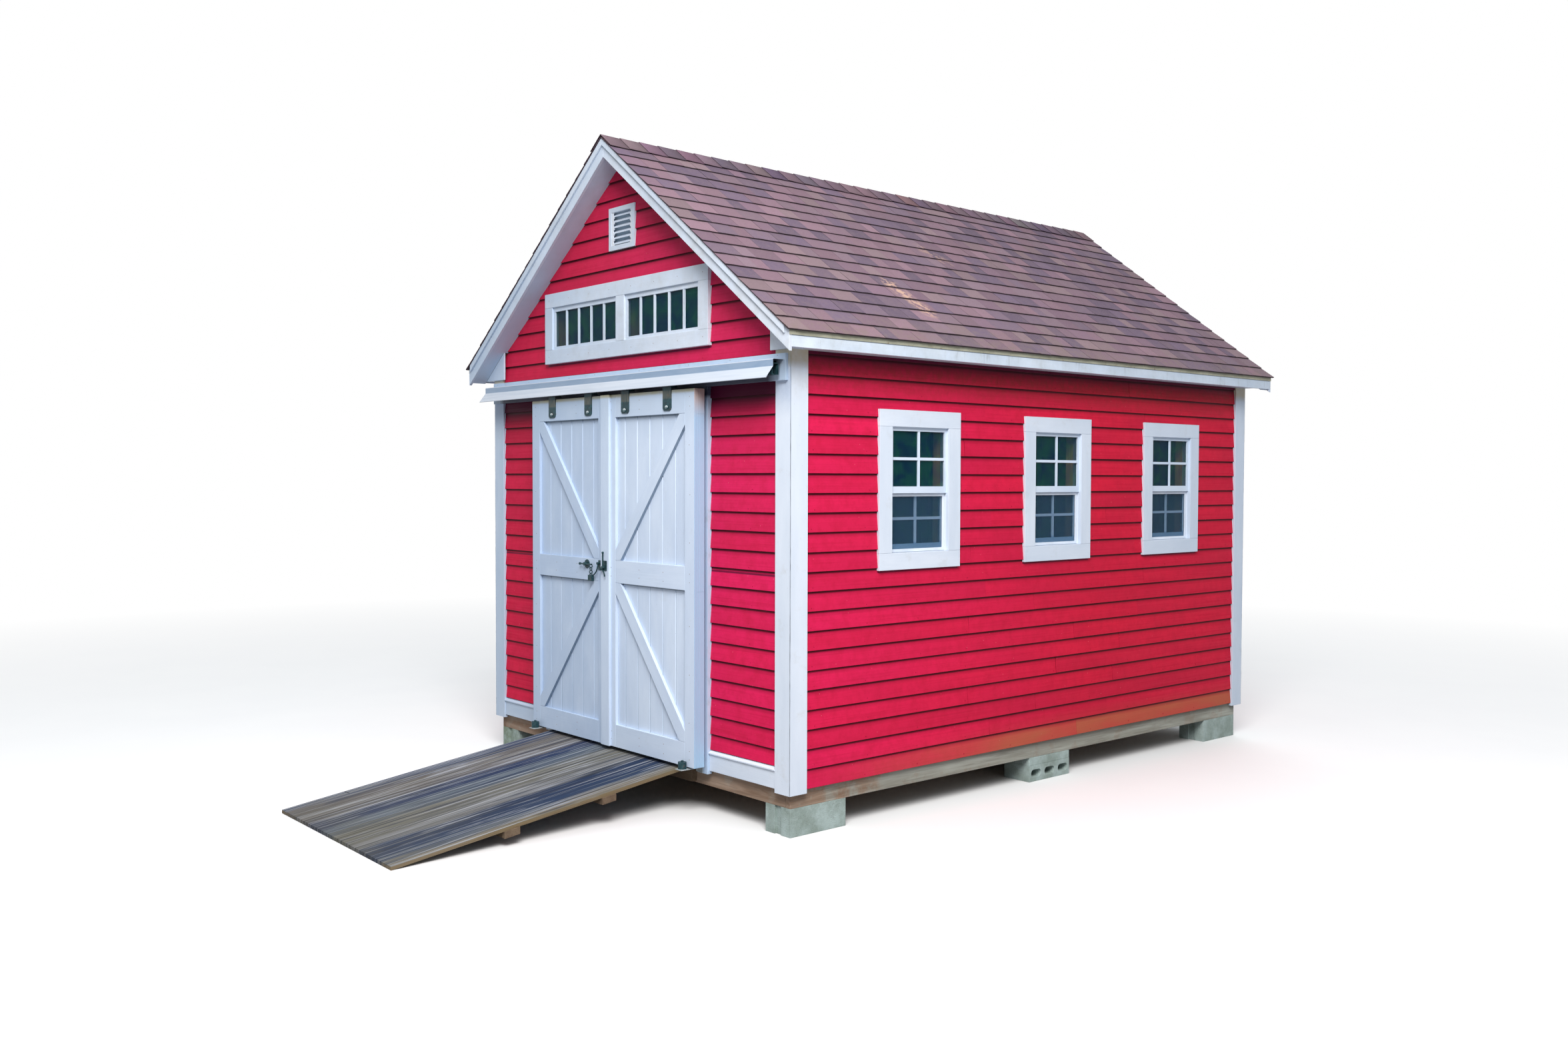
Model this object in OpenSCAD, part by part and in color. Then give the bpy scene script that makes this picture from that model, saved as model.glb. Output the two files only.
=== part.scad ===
// Garden shed with a gable roof, clapboard walls and double sliding doors on a covered track.
// The front faces -Y, +X is to the right, and z = 0 is the ground under the blocks.

/* [Floor frame] */
// Width of the framing, outside the studs
frame_w = 3048; // [2400:1:3600]
// Length of the framing, outside the studs
frame_l = 4350; // [3600:1:5400]
// Height of the concrete blocks above the ground
block_h = 153; // [120:1:220]
// Length of a concrete block
block_l = 400; // [300:1:420]
// Width of a concrete block
block_w = 200; // [150:1:220]
// Thickness of the solid cap laid on the middle blocks
cap_h = 51; // [30:1:70]
// Depth of the rims and joists
joist_h = 140; // [120:1:190]
// Thickness of all sawn framing
lumber_t = 38; // [30:1:45]
// Thickness of the floor sheets
floor_t = 16; // [12:1:25]
// Largest spacing of the floor joists
joist_step = 410; // [300:1:610]

/* [Walls] */
// Depth of the studs
stud_d = 89; // [64:1:140]
// Height of the top of the wall plates above the top of the track board
plate_up = 137; // [125:1:400]
// Largest spacing of the studs
stud_step = 610; // [400:1:620]
// Thickness of the wall sheathing
sheathing_t = 11; // [9:1:19]
// Gap left between sheathing sheets
sheet_gap = 3; // [1:0.5:5]
// Exposure of one clapboard
lap = 104; // [80:1:130]
// Thickness of a clapboard at its lower edge
lap_t = 14; // [10:1:18]
// Thickness of a clapboard where the next one covers it
lap_top_t = 5; // [3:1:8]
// How far the lowest clapboard hangs below the floor
lap_drop = 59; // [20:1:100]
// Thickness of the corner boards and side window casings
trim_t = 25; // [19:1:35]
// Width of the corner boards
corner_w = 122; // [90:1:150]
// How far the corner boards hang below the floor
corner_drop = 78; // [60:1:120]
// Height of the water table board at the foot of the front wall
table_h = 95; // [70:1:140]
// Height of the sloping cap on the water table
table_cap_h = 24; // [15:1:35]
// How far the water table cap stands out of the board
table_cap_out = 12; // [6:1:20]

/* [Side windows] */
// Number of windows in each side wall
window_count = 3; // [2:1:3]
// Distance between the middles of neighbouring windows
window_step = 1253; // [1000:1:1280]
// Distance from the middle of the wall back to the middle of the windows
window_back = 22; // [0:1:30]
// Clear width inside the casings
window_w = 460; // [380:1:520]
// Clear height inside the casings
window_h = 702; // [600:1:800]
// Height of the clear opening above the floor
window_sill = 1165; // [1000:1:1250]
// Width of a window casing board
casing_w = 101; // [80:1:110]
// Height of the head and sill casing boards
casing_h = 94; // [80:1:110]
// Thickness of the window frame boards
jamb_t = 20; // [15:1:25]
// Width of the sash stiles
sash_w = 19; // [16:1:45]
// Height of the rail at the top of the upper sash
sash_top_h = 22; // [18:1:40]
// Height of the rails where the two sashes meet
sash_meet_h = 38; // [30:1:50]
// Height of the rail at the foot of the lower sash
sash_foot_h = 47; // [40:1:70]
// Thickness of a sash
sash_t = 24; // [18:1:28]
// Width of the bars between the panes
bar_w = 16; // [10:1:24]
// Thickness of the glass
glass_t = 4; // [3:1:5]
// Thickness of the head and sill beams over and under the windows
beam_h = 89; // [60:1:120]

/* [Doorway] */
// Clear width of the doorway
door_open_w = 1560; // [1300:1:1640]
// Clear height of the doorway above the floor
door_open_h = 2022; // [1800:1:2200]
// Width of the casings beside the doorway and round the transom
front_casing_w = 90; // [70:1:110]
// Thickness of the casings on the front wall
front_casing_t = 33; // [26:1:40]
// Height of the beam over the doorway
header_h = 140; // [100:1:180]

/* [Transom] */
// Height of the transom opening above the wall plates
transom_up = 44; // [35:1:70]
// Height of the rake soffits above the upper corners of the transom's casing
transom_gap = 65.75; // [45:0.25:150]
// Clear height inside the transom casings
transom_h = 272; // [200:1:300]
// Number of panes in each transom sash
transom_panes = 5; // [3:1:6]
// Width of the bars in the transom
transom_bar_w = 17; // [14:1:30]
// Width of the stiles of the transom sashes
transom_stile_w = 18; // [14:1:36]
// Height of the top rails of the transom sashes
transom_top_h = 28; // [14:1:36]
// Height of the lower rails of the transom sashes
transom_foot_h = 19; // [10:1:36]
// Depth of the transom sashes behind the casing's face
transom_recess = 12; // [8:1:40]

/* [Gable vents] */
// Width of a vent
vent_w = 276; // [200:1:320]
// Height of a vent
vent_h = 256; // [200:1:320]
// Height of a vent above the wall plates
vent_up = 597; // [560:1:640]
// Number of louvres in a vent
louvre_count = 6; // [3:1:8]
// Width of the vent's rim
vent_rim = 28; // [20:1:40]

/* [Roof] */
// Rise of the roof for each unit of run
pitch = 0.75; // [0.65:0.01:0.85]
// Height of the rafter's top over the outside of the plates
heel_h = 78; // [65:1:90]
// Depth of the rafters, square to the slope
rafter_d = 89; // [80:1:100]
// Largest spacing of the rafters
rafter_step = 625; // [400:1:700]
// Thickness of the roof boards
roof_t = 11; // [9:1:19]
// Distance from the side studs to the outside of the fascias
eave_out = 166; // [140:1:220]
// Distance from the end studs to the outside of the rake boards
rake_out = 161; // [120:1:220]
// Thickness of the fascias and rake boards
board_t = 19; // [15:1:25]
// Height of the fascias
fascia_h = 76; // [60:1:110]
// Width of the rake boards, square to the slope
rake_w = 89; // [70:1:110]
// Width of the strip along the top of the rake boards
strip_w = 34; // [25:1:45]
// Thickness of that strip
strip_t = 12; // [8:1:16]
// Thickness of the soffits
soffit_t = 9; // [6:1:12]
// Height of the eave soffit above the lower edge of the fascia
soffit_up = 7; // [4:1:15]
// Distance from the lower edge of the rake boards up to the rake soffits
rake_soffit_up = 12; // [6:1:20]
// Thickness of the panels that close the eaves at the gables
end_t = 12; // [9:1:18]
// How far those panels reach inside the outer edge of the studs
end_in = 116; // [100:1:140]
// Exposure of one row of shingles, along the slope
shingle_step = 127; // [100:1:150]
// Thickness of the shingles at their lower edge
shingle_t = 10; // [7:1:12]
// Thickness of the shingles where the next row covers them
shingle_top_t = 5; // [3:1:6]
// How far the shingles reach past the boards they lie on
shingle_out = 14; // [8:1:20]
// Width of one side of the ridge cap, along the slope
cap_w = 140; // [110:1:170]
// Depth of the ridge board
ridge_h = 140; // [120:1:184]
// Height of the rafter ties
tie_h = 89; // [60:1:110]
// Height of the rafter ties above the wall plates
tie_up = 420; // [300:1:500]

/* [Doors] */
// How far a leaf reaches past the side of the doorway
side_lap = 93; // [60:1:110]
// How far the leaves reach above the doorway
head_lap = 51; // [30:1:100]
// How far the leaves hang below the floor
leaf_drop = 33; // [10:1:36]
// Gap between the leaves and the front casings
leaf_gap = 24; // [12:1:34]
// Thickness of the planks
plank_t = 16; // [12:1:20]
// Width of one plank
plank_w = 126; // [90:1:160]
// Thickness of the frame behind the planks
back_t = 35; // [25:1:40]
// Width of the stiles and back frame boards
stile_w = 89; // [70:1:110]
// Height of the rails
rail_h = 135; // [100:1:150]
// Thickness of the trim boards on the planks
overlay_t = 19; // [15:1:25]
// Width of the diagonal braces
brace_w = 80; // [60:1:100]
// Width of the board over the meeting edges
astragal_w = 89; // [70:1:100]
// Thickness of that board
astragal_t = 16; // [12:1:20]
// Gap between the two leaves
meeting_gap = 6; // [5:1:10]
// Least space between a leaf and what it passes
slide_gap = 5; // [4:0.5:8]

/* [Track] */
// Height of the board that carries the track
track_board_h = 140; // [120:1:160]
// Distance from the outer edge of the corner boards to the end of the track board
board_end = 20; // [10:1:40]
// Distance from the end of the track board to the end of the track
track_end = 30; // [20:1:45]
// Distance from the end of the track board to the end of the hood
hood_end = 16; // [5:1:19]
// Distance from the end of the track to the face of the stop for the left leaf
stop_in = 65; // [50:1:120]
// Gap between the leaves' top and the track board
leaf_top_gap = 12; // [8:1:20]
// Width of the box track
track_w = 44; // [40:1:46]
// Height of the box track
track_h = 60; // [50:1:66]
// Height of the box track above its board's lower edge
track_up = 27; // [20:1:32]
// Wall of the box track
track_wall = 3; // [2:0.5:3.5]
// Slot under the box track
track_slot = 15; // [14:0.5:18]
// Distance from the meeting edge to the inner hanger
hanger_in = 200; // [120:1:260]
// Distance from the meeting edge to the outer hanger
hanger_out = 621; // [560:1:660]
// Width of a hanger strap
strap_w = 80; // [40:1:100]
// Thickness of a hanger strap
strap_t = 5; // [4:0.5:6]
// Length of a hanger strap on the face of a leaf
strap_l = 116; // [80:1:130]
// Radius of the strap's lower corners
strap_corner = 19; // [4:1:19]
// Radius of a trolley wheel
wheel_r = 16; // [13:0.5:17]
// Width of a trolley wheel
wheel_w = 9; // [6:0.5:10]
// Distance from the top of the track board down to the hood
hood_down = 33; // [20:1:40]
// Distance from the track board to the hood's upright face
hood_out = 71; // [68:1:80]
// Height of the hood's upright face
hood_face_h = 38; // [25:1:50]
// How far the hood's lip flares out
hood_flare = 48; // [40:1:60]
// Height of the hood's lip
hood_lip_h = 61; // [50:1:70]
// Thickness of the hood's sheet
hood_t = 2; // [1.5:0.5:3]

/* [Floor guides] */
// Distance from the side of the doorway out to the middle of a guide
guide_in = 20; // [5:1:50]
// Radius of a guide's roller
roller_r = 24; // [18:1:28]
// Height of a guide's roller
roller_h = 40; // [30:1:50]
// Width of a guide's plate
guide_w = 60; // [50:1:80]
// Thickness of a guide's plate
guide_t = 4; // [3:0.5:6]

/* [Ramp] */
// Width of the ramp
ramp_w = 1430; // [1200:1:1500]
// Distance from the floor frame to the toe of the ramp
ramp_run = 1836; // [1500:1:2200]
// Thickness of the ramp's sheet
ramp_t = 19; // [15:1:25]
// Distance from the floor down to the top of the ramp
ramp_step = 39; // [32:1:50]
// Width of the battens under the ramp
batten_w = 89; // [60:1:100]

/* [Hidden] */
$fn = 32;
eps = 0.5;

// Hairlines: under the sloping boards, and at the folds of bent sheet
seat_gap = 0.1;
seam = 0.3;

// Heights of the floor frame and walls
rim_top = block_h + joist_h;
floor_z = rim_top + floor_t;
door_top = floor_z + door_open_h;
leaf_z = floor_z - leaf_drop;
leaf_top = door_top + head_lap;
leaf_h = leaf_top - leaf_z;
track_board_z = leaf_top + leaf_top_gap;
track_board_top = track_board_z + track_board_h;
plate_z = track_board_top + plate_up;
siding_z = floor_z - lap_drop;
corner_z = floor_z - corner_drop;
half_w = frame_w / 2;

// Roof: the top of the boards falls from roof_z at the ridge
cos_p = 1 / sqrt(1 + pitch * pitch);
roof_v = roof_t / cos_p;
rafter_v = rafter_d / cos_p;
rake_v = rake_w / cos_p;
strip_v = strip_w / cos_p;
soffit_v = soffit_t / cos_p;
roof_z = plate_z + heel_h + half_w * pitch + roof_v;
fascia_x = half_w + eave_out;
fascia_top = roof_z - roof_v - fascia_x * pitch;
fascia_z = fascia_top - fascia_h;
soffit_z = fascia_z + soffit_up;
rake_soffit_z = roof_z - rake_v + rake_soffit_up;
gable_under = rake_soffit_z - soffit_v;
frame_top = roof_z - roof_v - seat_gap;

// Places along Y: the front and rear faces of the studs
shingle_end = rake_out + strip_t + shingle_out / 2;
front_y = (ramp_run - shingle_end - frame_l) / 2;
back_y = front_y + frame_l;
mid_y = (front_y + back_y) / 2;

// Distances out from the studs
siding_face = sheathing_t + lap_t;
trim_face = sheathing_t + trim_t;
casing_face = sheathing_t + front_casing_t;
track_board_face = trim_face + board_t;
leaf_back = casing_face + leaf_gap;
plank_back = leaf_back + back_t;
plank_face = plank_back + plank_t;
leaf_face = plank_face + overlay_t;
astragal_face = leaf_face + astragal_t;

// Doorway, transom and vents
door_half = door_open_w / 2;
casing_half = door_half + front_casing_w;
transom_z = plate_z + transom_up;
transom_top = transom_z + transom_h;
transom_out = (gable_under - transom_top - front_casing_w - transom_gap) / pitch;
transom_half = transom_out - front_casing_w;
vent_z = plate_z + vent_up;
leaf_in = meeting_gap / 2;
leaf_out = door_half + side_lap;
leaf_w = leaf_out - leaf_in;
track_z = track_board_z + track_up;
hood_top = track_board_top - hood_down;
board_half = half_w + trim_face - board_end;
hood_half = board_half - hood_end;
track_half = board_half - track_end;
guide_x = door_half + guide_in;

// Windows: the inner face of the lower sash lies sash_in behind the face of the sheathing
sash_in = 41;
window_z = floor_z + window_sill;
rough_w = window_w + 2 * jamb_t;
rough_h = window_h + 2 * jamb_t;
window_ys = [for (i = [0:window_count - 1])
    mid_y + window_back + (i - (window_count - 1) / 2) * window_step];

// Helpers

module both_sides() {
    children();
    mirror([1, 0, 0]) children();
}

module both_ends() {
    children();
    at_rear() children();
}

module at_rear() {
    translate([0, 2 * mid_y, 0]) mirror([0, 1, 0]) children();
}

// A box from one corner to the other
module span(low, high) {
    translate(low) cube(high - low);
}

// An XZ outline that stands on the front wall, from one distance out of the studs to another
module front_plate(from_d, to_d) {
    translate([0, front_y - from_d, 0]) rotate([90, 0, 0]) linear_extrude(to_d - from_d) children();
}

// An XZ outline that runs back along the shed between two places on Y
module along_y(y0, y1) {
    translate([0, y1, 0]) rotate([90, 0, 0]) linear_extrude(y1 - y0) children();
}

// An upright rectangle in an XZ outline
module pane(x0, z0, x1, z1) {
    translate([x0, z0]) square([x1 - x0, z1 - z0]);
}

// The height of a sloping roof line at a distance from the ridge
function slope_z(top, x) = top - pitch * x;

// The number of equal bays no wider than step
function bays(length, step) = ceil(length / step);

// Foundation and floor

// A block with a shallow groove at each end, as cored blocks have
module block(length, width, height) {
    groove = 25;
    wall = 35;
    difference() {
        cube([width, length, height]);
        for (y = [-1, length - groove / 2 + 1])
            translate([width / 2 - groove, y, -1]) cube([2 * groove, groove / 2, height + 2]);
        for (y = [wall, (length + wall) / 2])
            translate([wall, y, -1]) cube([width - 2 * wall, (length - 3 * wall) / 2, height + 2]);
    }
}

// The cored block laid on its side: its three cores face out
module cored_block() {
    core_l = block_l / 3 - 36;
    core_h = block_h - cap_h - 56;
    difference() {
        cube([block_w, block_l, block_h - cap_h]);
        for (i = [0:2])
            translate([-1, block_l * (i + 0.5) / 3, (block_h - cap_h) / 2]) rotate([0, 90, 0])
                linear_extrude(block_w + 2)
                    hull() for (s = [-1, 1])
                        translate([0, s * (core_l - core_h) / 2]) circle(d = core_h);
    }
}

module ground_blocks() color("darkgray") {
    both_sides() both_ends()
        translate([half_w - block_w, front_y, 0]) block(block_l, block_w, block_h);
    both_sides() translate([half_w - block_w, mid_y - block_l / 2, 0]) cored_block();
}

module cap_blocks() color("silver") both_sides()
    translate([half_w - block_w, mid_y - block_l / 2, block_h - cap_h]) cube([block_w, block_l, cap_h]);

module side_rims() color("dimgray") both_sides()
    span([half_w - lumber_t, front_y, block_h], [half_w, back_y, rim_top]);

module end_rims() color("dimgray") both_ends()
    span([-half_w + lumber_t, front_y, block_h], [half_w - lumber_t, front_y + lumber_t, rim_top]);

module floor_joists() color("burlywood") {
    count = bays(frame_l, joist_step);
    for (i = [1:count - 1])
        span([-half_w + lumber_t, front_y + (frame_l - lumber_t) * i / count, block_h],
             [half_w - lumber_t, front_y + (frame_l - lumber_t) * i / count + lumber_t, rim_top]);
}

module floor_deck() color("tan")
    span([-half_w, front_y, rim_top], [half_w, back_y, floor_z]);

// Wall framing

module side_plates() color("burlywood") both_sides() {
    span([half_w - stud_d, front_y, floor_z], [half_w, back_y, floor_z + lumber_t]);
    span([half_w - stud_d, front_y, plate_z - 2 * lumber_t], [half_w, back_y, plate_z]);
}

module end_plates() color("burlywood") {
    inner = half_w - stud_d;
    both_sides()
        span([door_half, front_y, floor_z], [inner, front_y + stud_d, floor_z + lumber_t]);
    at_rear() span([-inner, front_y, floor_z], [inner, front_y + stud_d, floor_z + lumber_t]);
    both_ends()
        span([-inner, front_y, plate_z - 2 * lumber_t], [inner, front_y + stud_d, plate_z]);
}

module stud(x, y, z0, z1, turned = false) {
    size = turned ? [stud_d, lumber_t] : [lumber_t, stud_d];
    translate([x, y, z0]) cube([size[0], size[1], z1 - z0]);
}

// Studs of one side wall: corners, a pair beside each window, and one between windows
module side_studs() {
    low = floor_z + lumber_t;
    high = plate_z - 2 * lumber_t;
    x = half_w - stud_d;
    for (y = [front_y + stud_d, back_y - stud_d - lumber_t]) stud(x, y, low, high, true);
    for (y = window_ys, s = [-1, 1])
        stud(x, y + s * (rough_w + lumber_t) / 2 - lumber_t / 2, low, high, true);
    for (i = [0:window_count - 2])
        stud(x, (window_ys[i] + window_ys[i + 1] - lumber_t) / 2, low, high, true);
    for (y = window_ys) {
        stud(x, y - lumber_t / 2, low, window_z - jamb_t - lumber_t, true);
        stud(x, y - lumber_t / 2, window_z + window_h + jamb_t + beam_h, high, true);
    }
}

// Studs of the front wall, beside the doorway
module front_studs() {
    low = floor_z + lumber_t;
    high = plate_z - 2 * lumber_t;
    both_sides() {
        stud(door_half, front_y, low, door_top);
        stud(door_half + lumber_t + eps, front_y, low, high);
        stud((door_half + half_w) / 2, front_y, low, high);
        stud(half_w - stud_d - lumber_t, front_y, low, high);
    }
    for (x = [-door_half / 2, 0, door_half / 2])
        stud(x - lumber_t / 2, front_y, door_top + header_h, high);
}

module rear_studs() {
    low = floor_z + lumber_t;
    high = plate_z - 2 * lumber_t;
    inner = half_w - stud_d;
    count = bays(2 * inner, stud_step);
    for (i = [0:count])
        stud(-inner + (2 * inner - lumber_t) * i / count, front_y, low, high);
}

// A gable stud, cut to the slope of the rafters
module gable_stud(x, z0) {
    top = frame_top - rafter_v;
    front_plate(-stud_d, 0) polygon([
        [x, z0], [x + lumber_t, z0],
        [x + lumber_t, slope_z(top, x + lumber_t)], [x, slope_z(top, x)]
    ]);
}

module gable_studs(open) {
    both_sides() {
        if (open) gable_stud(transom_half, plate_z);
        gable_stud(transom_half + (half_w - transom_half) * 0.35, plate_z);
        gable_stud(vent_w / 2, open ? transom_top + lumber_t : plate_z);
        if (!open) gable_stud(transom_half * 0.75, plate_z);
    }
}

module wall_studs() color("burlywood") {
    both_sides() side_studs();
    front_studs();
    at_rear() rear_studs();
    gable_studs(true);
    at_rear() gable_studs(false);
}

// Beams over the windows and the doorway, and the boards under the windows and round the transom
module wall_beams() color("burlywood") {
    both_sides() for (y = window_ys) {
        x = half_w - stud_d;
        span([x, y - rough_w / 2, window_z - jamb_t - lumber_t],
             [half_w, y + rough_w / 2, window_z - jamb_t]);
        span([x, y - rough_w / 2, window_z + window_h + jamb_t],
             [half_w, y + rough_w / 2, window_z + window_h + jamb_t + beam_h]);
    }
    span([-door_half - lumber_t, front_y, door_top],
         [door_half + lumber_t, front_y + stud_d, door_top + header_h]);
    span([-transom_half, front_y, transom_top],
         [transom_half, front_y + stud_d, transom_top + lumber_t]);
    span([-lumber_t / 2, front_y, plate_z], [lumber_t / 2, front_y + stud_d, transom_top - eps]);
    transom_packing();
}

// Sheathing: sheets with a gap between them

module side_sheathing() color("peru") both_sides() {
    g = sheet_gap / 2;
    low = window_z - jamb_t;
    high = window_z + window_h + jamb_t;
    x = half_w;
    ys = concat([front_y], [for (y = window_ys, s = [-1, 1]) y + s * rough_w / 2], [back_y]);
    span([x, front_y, siding_z], [x + sheathing_t, back_y, low - g]);
    for (i = [0:window_count])
        span([x, ys[2 * i], low + g], [x + sheathing_t, ys[2 * i + 1], high - g]);
    span([x, front_y, high + g], [x + sheathing_t, back_y, soffit_z + soffit_t]);
}

// The gable from one height up, below the roof boards, in pieces round the vent
module gable_sheets(low) {
    g = sheet_gap / 2;
    top = frame_top;
    function x_at(z) = (top - z) / pitch;
    vent_top = vent_z + vent_h;
    front_plate(0, sheathing_t) {
        polygon([[-x_at(low), low], [x_at(low), low],
                 [x_at(vent_z - g), vent_z - g], [-x_at(vent_z - g), vent_z - g]]);
        for (s = [-1, 1])
            polygon([[s * vent_w / 2, vent_z + g], [s * x_at(vent_z + g), vent_z + g],
                     [s * x_at(vent_top - g), vent_top - g], [s * vent_w / 2, vent_top - g]]);
        polygon([[-x_at(vent_top + g), vent_top + g], [x_at(vent_top + g), vent_top + g], [0, top]]);
    }
}

module end_sheathing() color("peru") {
    g = sheet_gap / 2;
    top = frame_top;
    edge = half_w + sheathing_t;
    shoulder = slope_z(top, edge);
    // Front: beside the doorway, over it, beside the transom, and the gable
    front_plate(0, sheathing_t) {
        for (s = [-1, 1]) {
            polygon([[s * door_half, siding_z], [s * edge, siding_z],
                     [s * edge, door_top - g], [s * door_half, door_top - g]]);
            polygon([[s * transom_half, transom_z + g], [s * edge, transom_z + g], [s * edge, shoulder],
                     [s * (top - transom_top + g) / pitch, transom_top - g],
                     [s * transom_half, transom_top - g]]);
        }
        pane(-edge, door_top + g, edge, transom_z - g);
    }
    gable_sheets(transom_top + g);
    // Rear: the plain wall and the gable
    at_rear() {
        front_plate(0, sheathing_t) pane(-edge, siding_z, edge, shoulder - g);
        gable_sheets(shoulder + g);
    }
}

// Clapboards

// The saw-toothed section of a clapboard wall, drawn out to the right of the sheathing
module clapboard_section(top) {
    count = ceil((top - siding_z) / lap);
    intersection() {
        polygon(concat(
            [[0, siding_z]],
            [for (i = [0:count - 1], p = [[lap_t, 0], [lap_top_t, lap]]) [p[0], siding_z + i * lap + p[1]]],
            [[0, siding_z + count * lap]]
        ));
        translate([0, siding_z]) square([lap_t, top - siding_z]);
    }
}

module end_clapboards() {
    under = gable_under;
    edge = half_w + trim_face - corner_w;
    low_edge = half_w - end_in;
    intersection() {
        translate([-half_w, front_y - sheathing_t, 0]) rotate([90, 0, 90])
            linear_extrude(frame_w) mirror([1, 0]) clapboard_section(roof_z);
        front_plate(0, trim_face) polygon([
            [-edge, siding_z], [edge, siding_z], [edge, soffit_z], [low_edge, soffit_z],
            [low_edge, slope_z(under, low_edge)], [0, under], [-low_edge, slope_z(under, low_edge)],
            [-low_edge, soffit_z], [-edge, soffit_z]
        ]);
    }
}

module vent_hole() front_plate(0, trim_face + 20)
    pane(-vent_w / 2, vent_z, vent_w / 2, vent_z + vent_h);

module front_siding() color("crimson") difference() {
    end_clapboards();
    front_plate(-1, trim_face + 1) {
        pane(-casing_half, siding_z - 1, casing_half, track_board_z);
        pane(-transom_out, transom_z - front_casing_w, transom_out, transom_top + front_casing_w);
        pane(-frame_w, siding_z - 1, frame_w, siding_z + table_h + table_cap_h);
    }
    vent_hole();
}

module rear_siding() color("crimson") at_rear() difference() {
    end_clapboards();
    vent_hole();
}

module side_clapboards() {
    edge = trim_face - corner_w;
    difference() {
        translate([half_w + sheathing_t, back_y + edge, 0]) rotate([90, 0, 0])
            linear_extrude(frame_l + 2 * edge) clapboard_section(soffit_z);
        for (y = window_ys)
            span([half_w - 1, y - window_w / 2 - casing_w, window_z - casing_h],
                 [half_w + trim_face + 1, y + window_w / 2 + casing_w, window_z + window_h + casing_h]);
    }
}

module right_siding() color("crimson") side_clapboards();

module left_siding() color("crimson") mirror([1, 0, 0]) side_clapboards();

// Trim

module corner_boards() color("white") both_sides() both_ends() {
    outer = half_w + trim_face;
    y = front_y - trim_face;
    span([outer - corner_w, y, corner_z], [outer, y + trim_t, soffit_z]);
    span([outer - trim_t, y + trim_t + eps, corner_z], [outer, y + corner_w, soffit_z]);
}

module water_table() color("white") both_sides() {
    low = siding_z;
    top = low + table_h;
    inner = casing_half;
    outer = half_w + trim_face - corner_w;
    face = lap_t + 4;
    translate([inner, front_y - sheathing_t, 0]) rotate([90, 0, 90]) linear_extrude(outer - inner)
        polygon([[0, low], [-face, low], [-face, top], [-lap_t - table_cap_out, top],
                 [-lap_t - table_cap_out, top + table_cap_h / 3], [0, top + table_cap_h]]);
}

// Casing boards round an opening: head and sill run through, sides stand between them
module casing_boards(w, h, side, end) {
    for (s = [0, 1])
        translate([-w / 2 - side, s == 0 ? -end : h]) square([w + 2 * side, end]);
    for (s = [-1, 1])
        translate([s * (w + side) / 2 - side / 2, eps]) square([side, h - 2 * eps]);
}

// Lays an outline drawn round a window's lower middle on the right wall
module on_right_wall(y, from_d, to_d) {
    translate([half_w + from_d, y, window_z]) rotate([90, 0, 90]) linear_extrude(to_d - from_d) children();
}

module window_casings() color("white") both_sides() for (y = window_ys)
    on_right_wall(y, sheathing_t, trim_face) casing_boards(window_w, window_h, casing_w, casing_h);

module window_frames() color("white") both_sides() for (y = window_ys)
    on_right_wall(y, -stud_d, sheathing_t) casing_boards(window_w, window_h, jamb_t, jamb_t);

// Windows

// A sash is drawn from its lower left corner, and its light is the list of the opening's left, foot, width
// and height
module sash_rails(w, h, light) {
    difference() {
        square([w, h]);
        sash_light(light);
    }
}

module sash_light(light) {
    translate([light[0], light[1]]) square([light[2], light[3]]);
}

// The bars of a sash with cols by rows of panes: they lie on the outside of the glass
module sash_bars(light, cols, rows, bar) {
    pane_w = (light[2] - (cols - 1) * bar) / cols;
    pane_h = (light[3] - (rows - 1) * bar) / rows;
    for (i = [1:1:cols - 1])
        translate([light[0] + i * (pane_w + bar) - bar, light[1] - 1]) square([bar, light[3] + 2]);
    for (j = [1:1:rows - 1])
        translate([light[0] - 1, light[1] + j * (pane_h + bar) - bar]) square([light[2] + 2, bar]);
}

bar_d = (sash_t + glass_t) / 2;

sash_h = (window_h + sash_meet_h) / 2;
lower_d = sheathing_t - sash_in;
upper_d = lower_d + sash_t + 1;

// The two sashes of a window: distance of the inner face out from the studs, height of the foot, light
light_w = window_w - 2 * sash_w;
window_pair = [
    [lower_d, 0, [sash_w, sash_foot_h, light_w, sash_h - sash_foot_h - sash_meet_h]],
    [upper_d, window_h - sash_h, [sash_w, sash_meet_h, light_w, sash_h - sash_meet_h - sash_top_h]]
];

module window_sashes() color("white") both_sides() for (y = window_ys) {
    for (sash = window_pair) {
        on_right_wall(y, sash[0], sash[0] + sash_t)
            translate([-window_w / 2, sash[1]]) sash_rails(window_w, sash_h, sash[2]);
        on_right_wall(y, sash[0] + bar_d, sash[0] + sash_t - 2)
            translate([-window_w / 2, sash[1]]) sash_bars(sash[2], 2, 2, bar_w);
    }
}

// One sheet of glass for each sash, in the middle of its thickness
module window_glass() color("slategray") both_sides() for (y = window_ys) {
    for (sash = window_pair)
        on_right_wall(y, sash[0] + (sash_t - glass_t) / 2, sash[0] + (sash_t + glass_t) / 2)
            translate([-window_w / 2, sash[1]]) sash_light(sash[2]);
}

// Transom

module transom_casing() color("white") front_plate(sheathing_t, casing_face) {
    translate([0, transom_z]) casing_boards(2 * transom_half, transom_h, front_casing_w, front_casing_w);
    pane(-front_casing_w / 2, transom_z + eps, front_casing_w / 2, transom_top - eps);
}

// A packing strip joins the middle casing to the stud behind it
module transom_packing() front_plate(0, sheathing_t)
    pane(-front_casing_w / 2 + 1, transom_z + eps, front_casing_w / 2 - 1, transom_top - eps);

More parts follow.
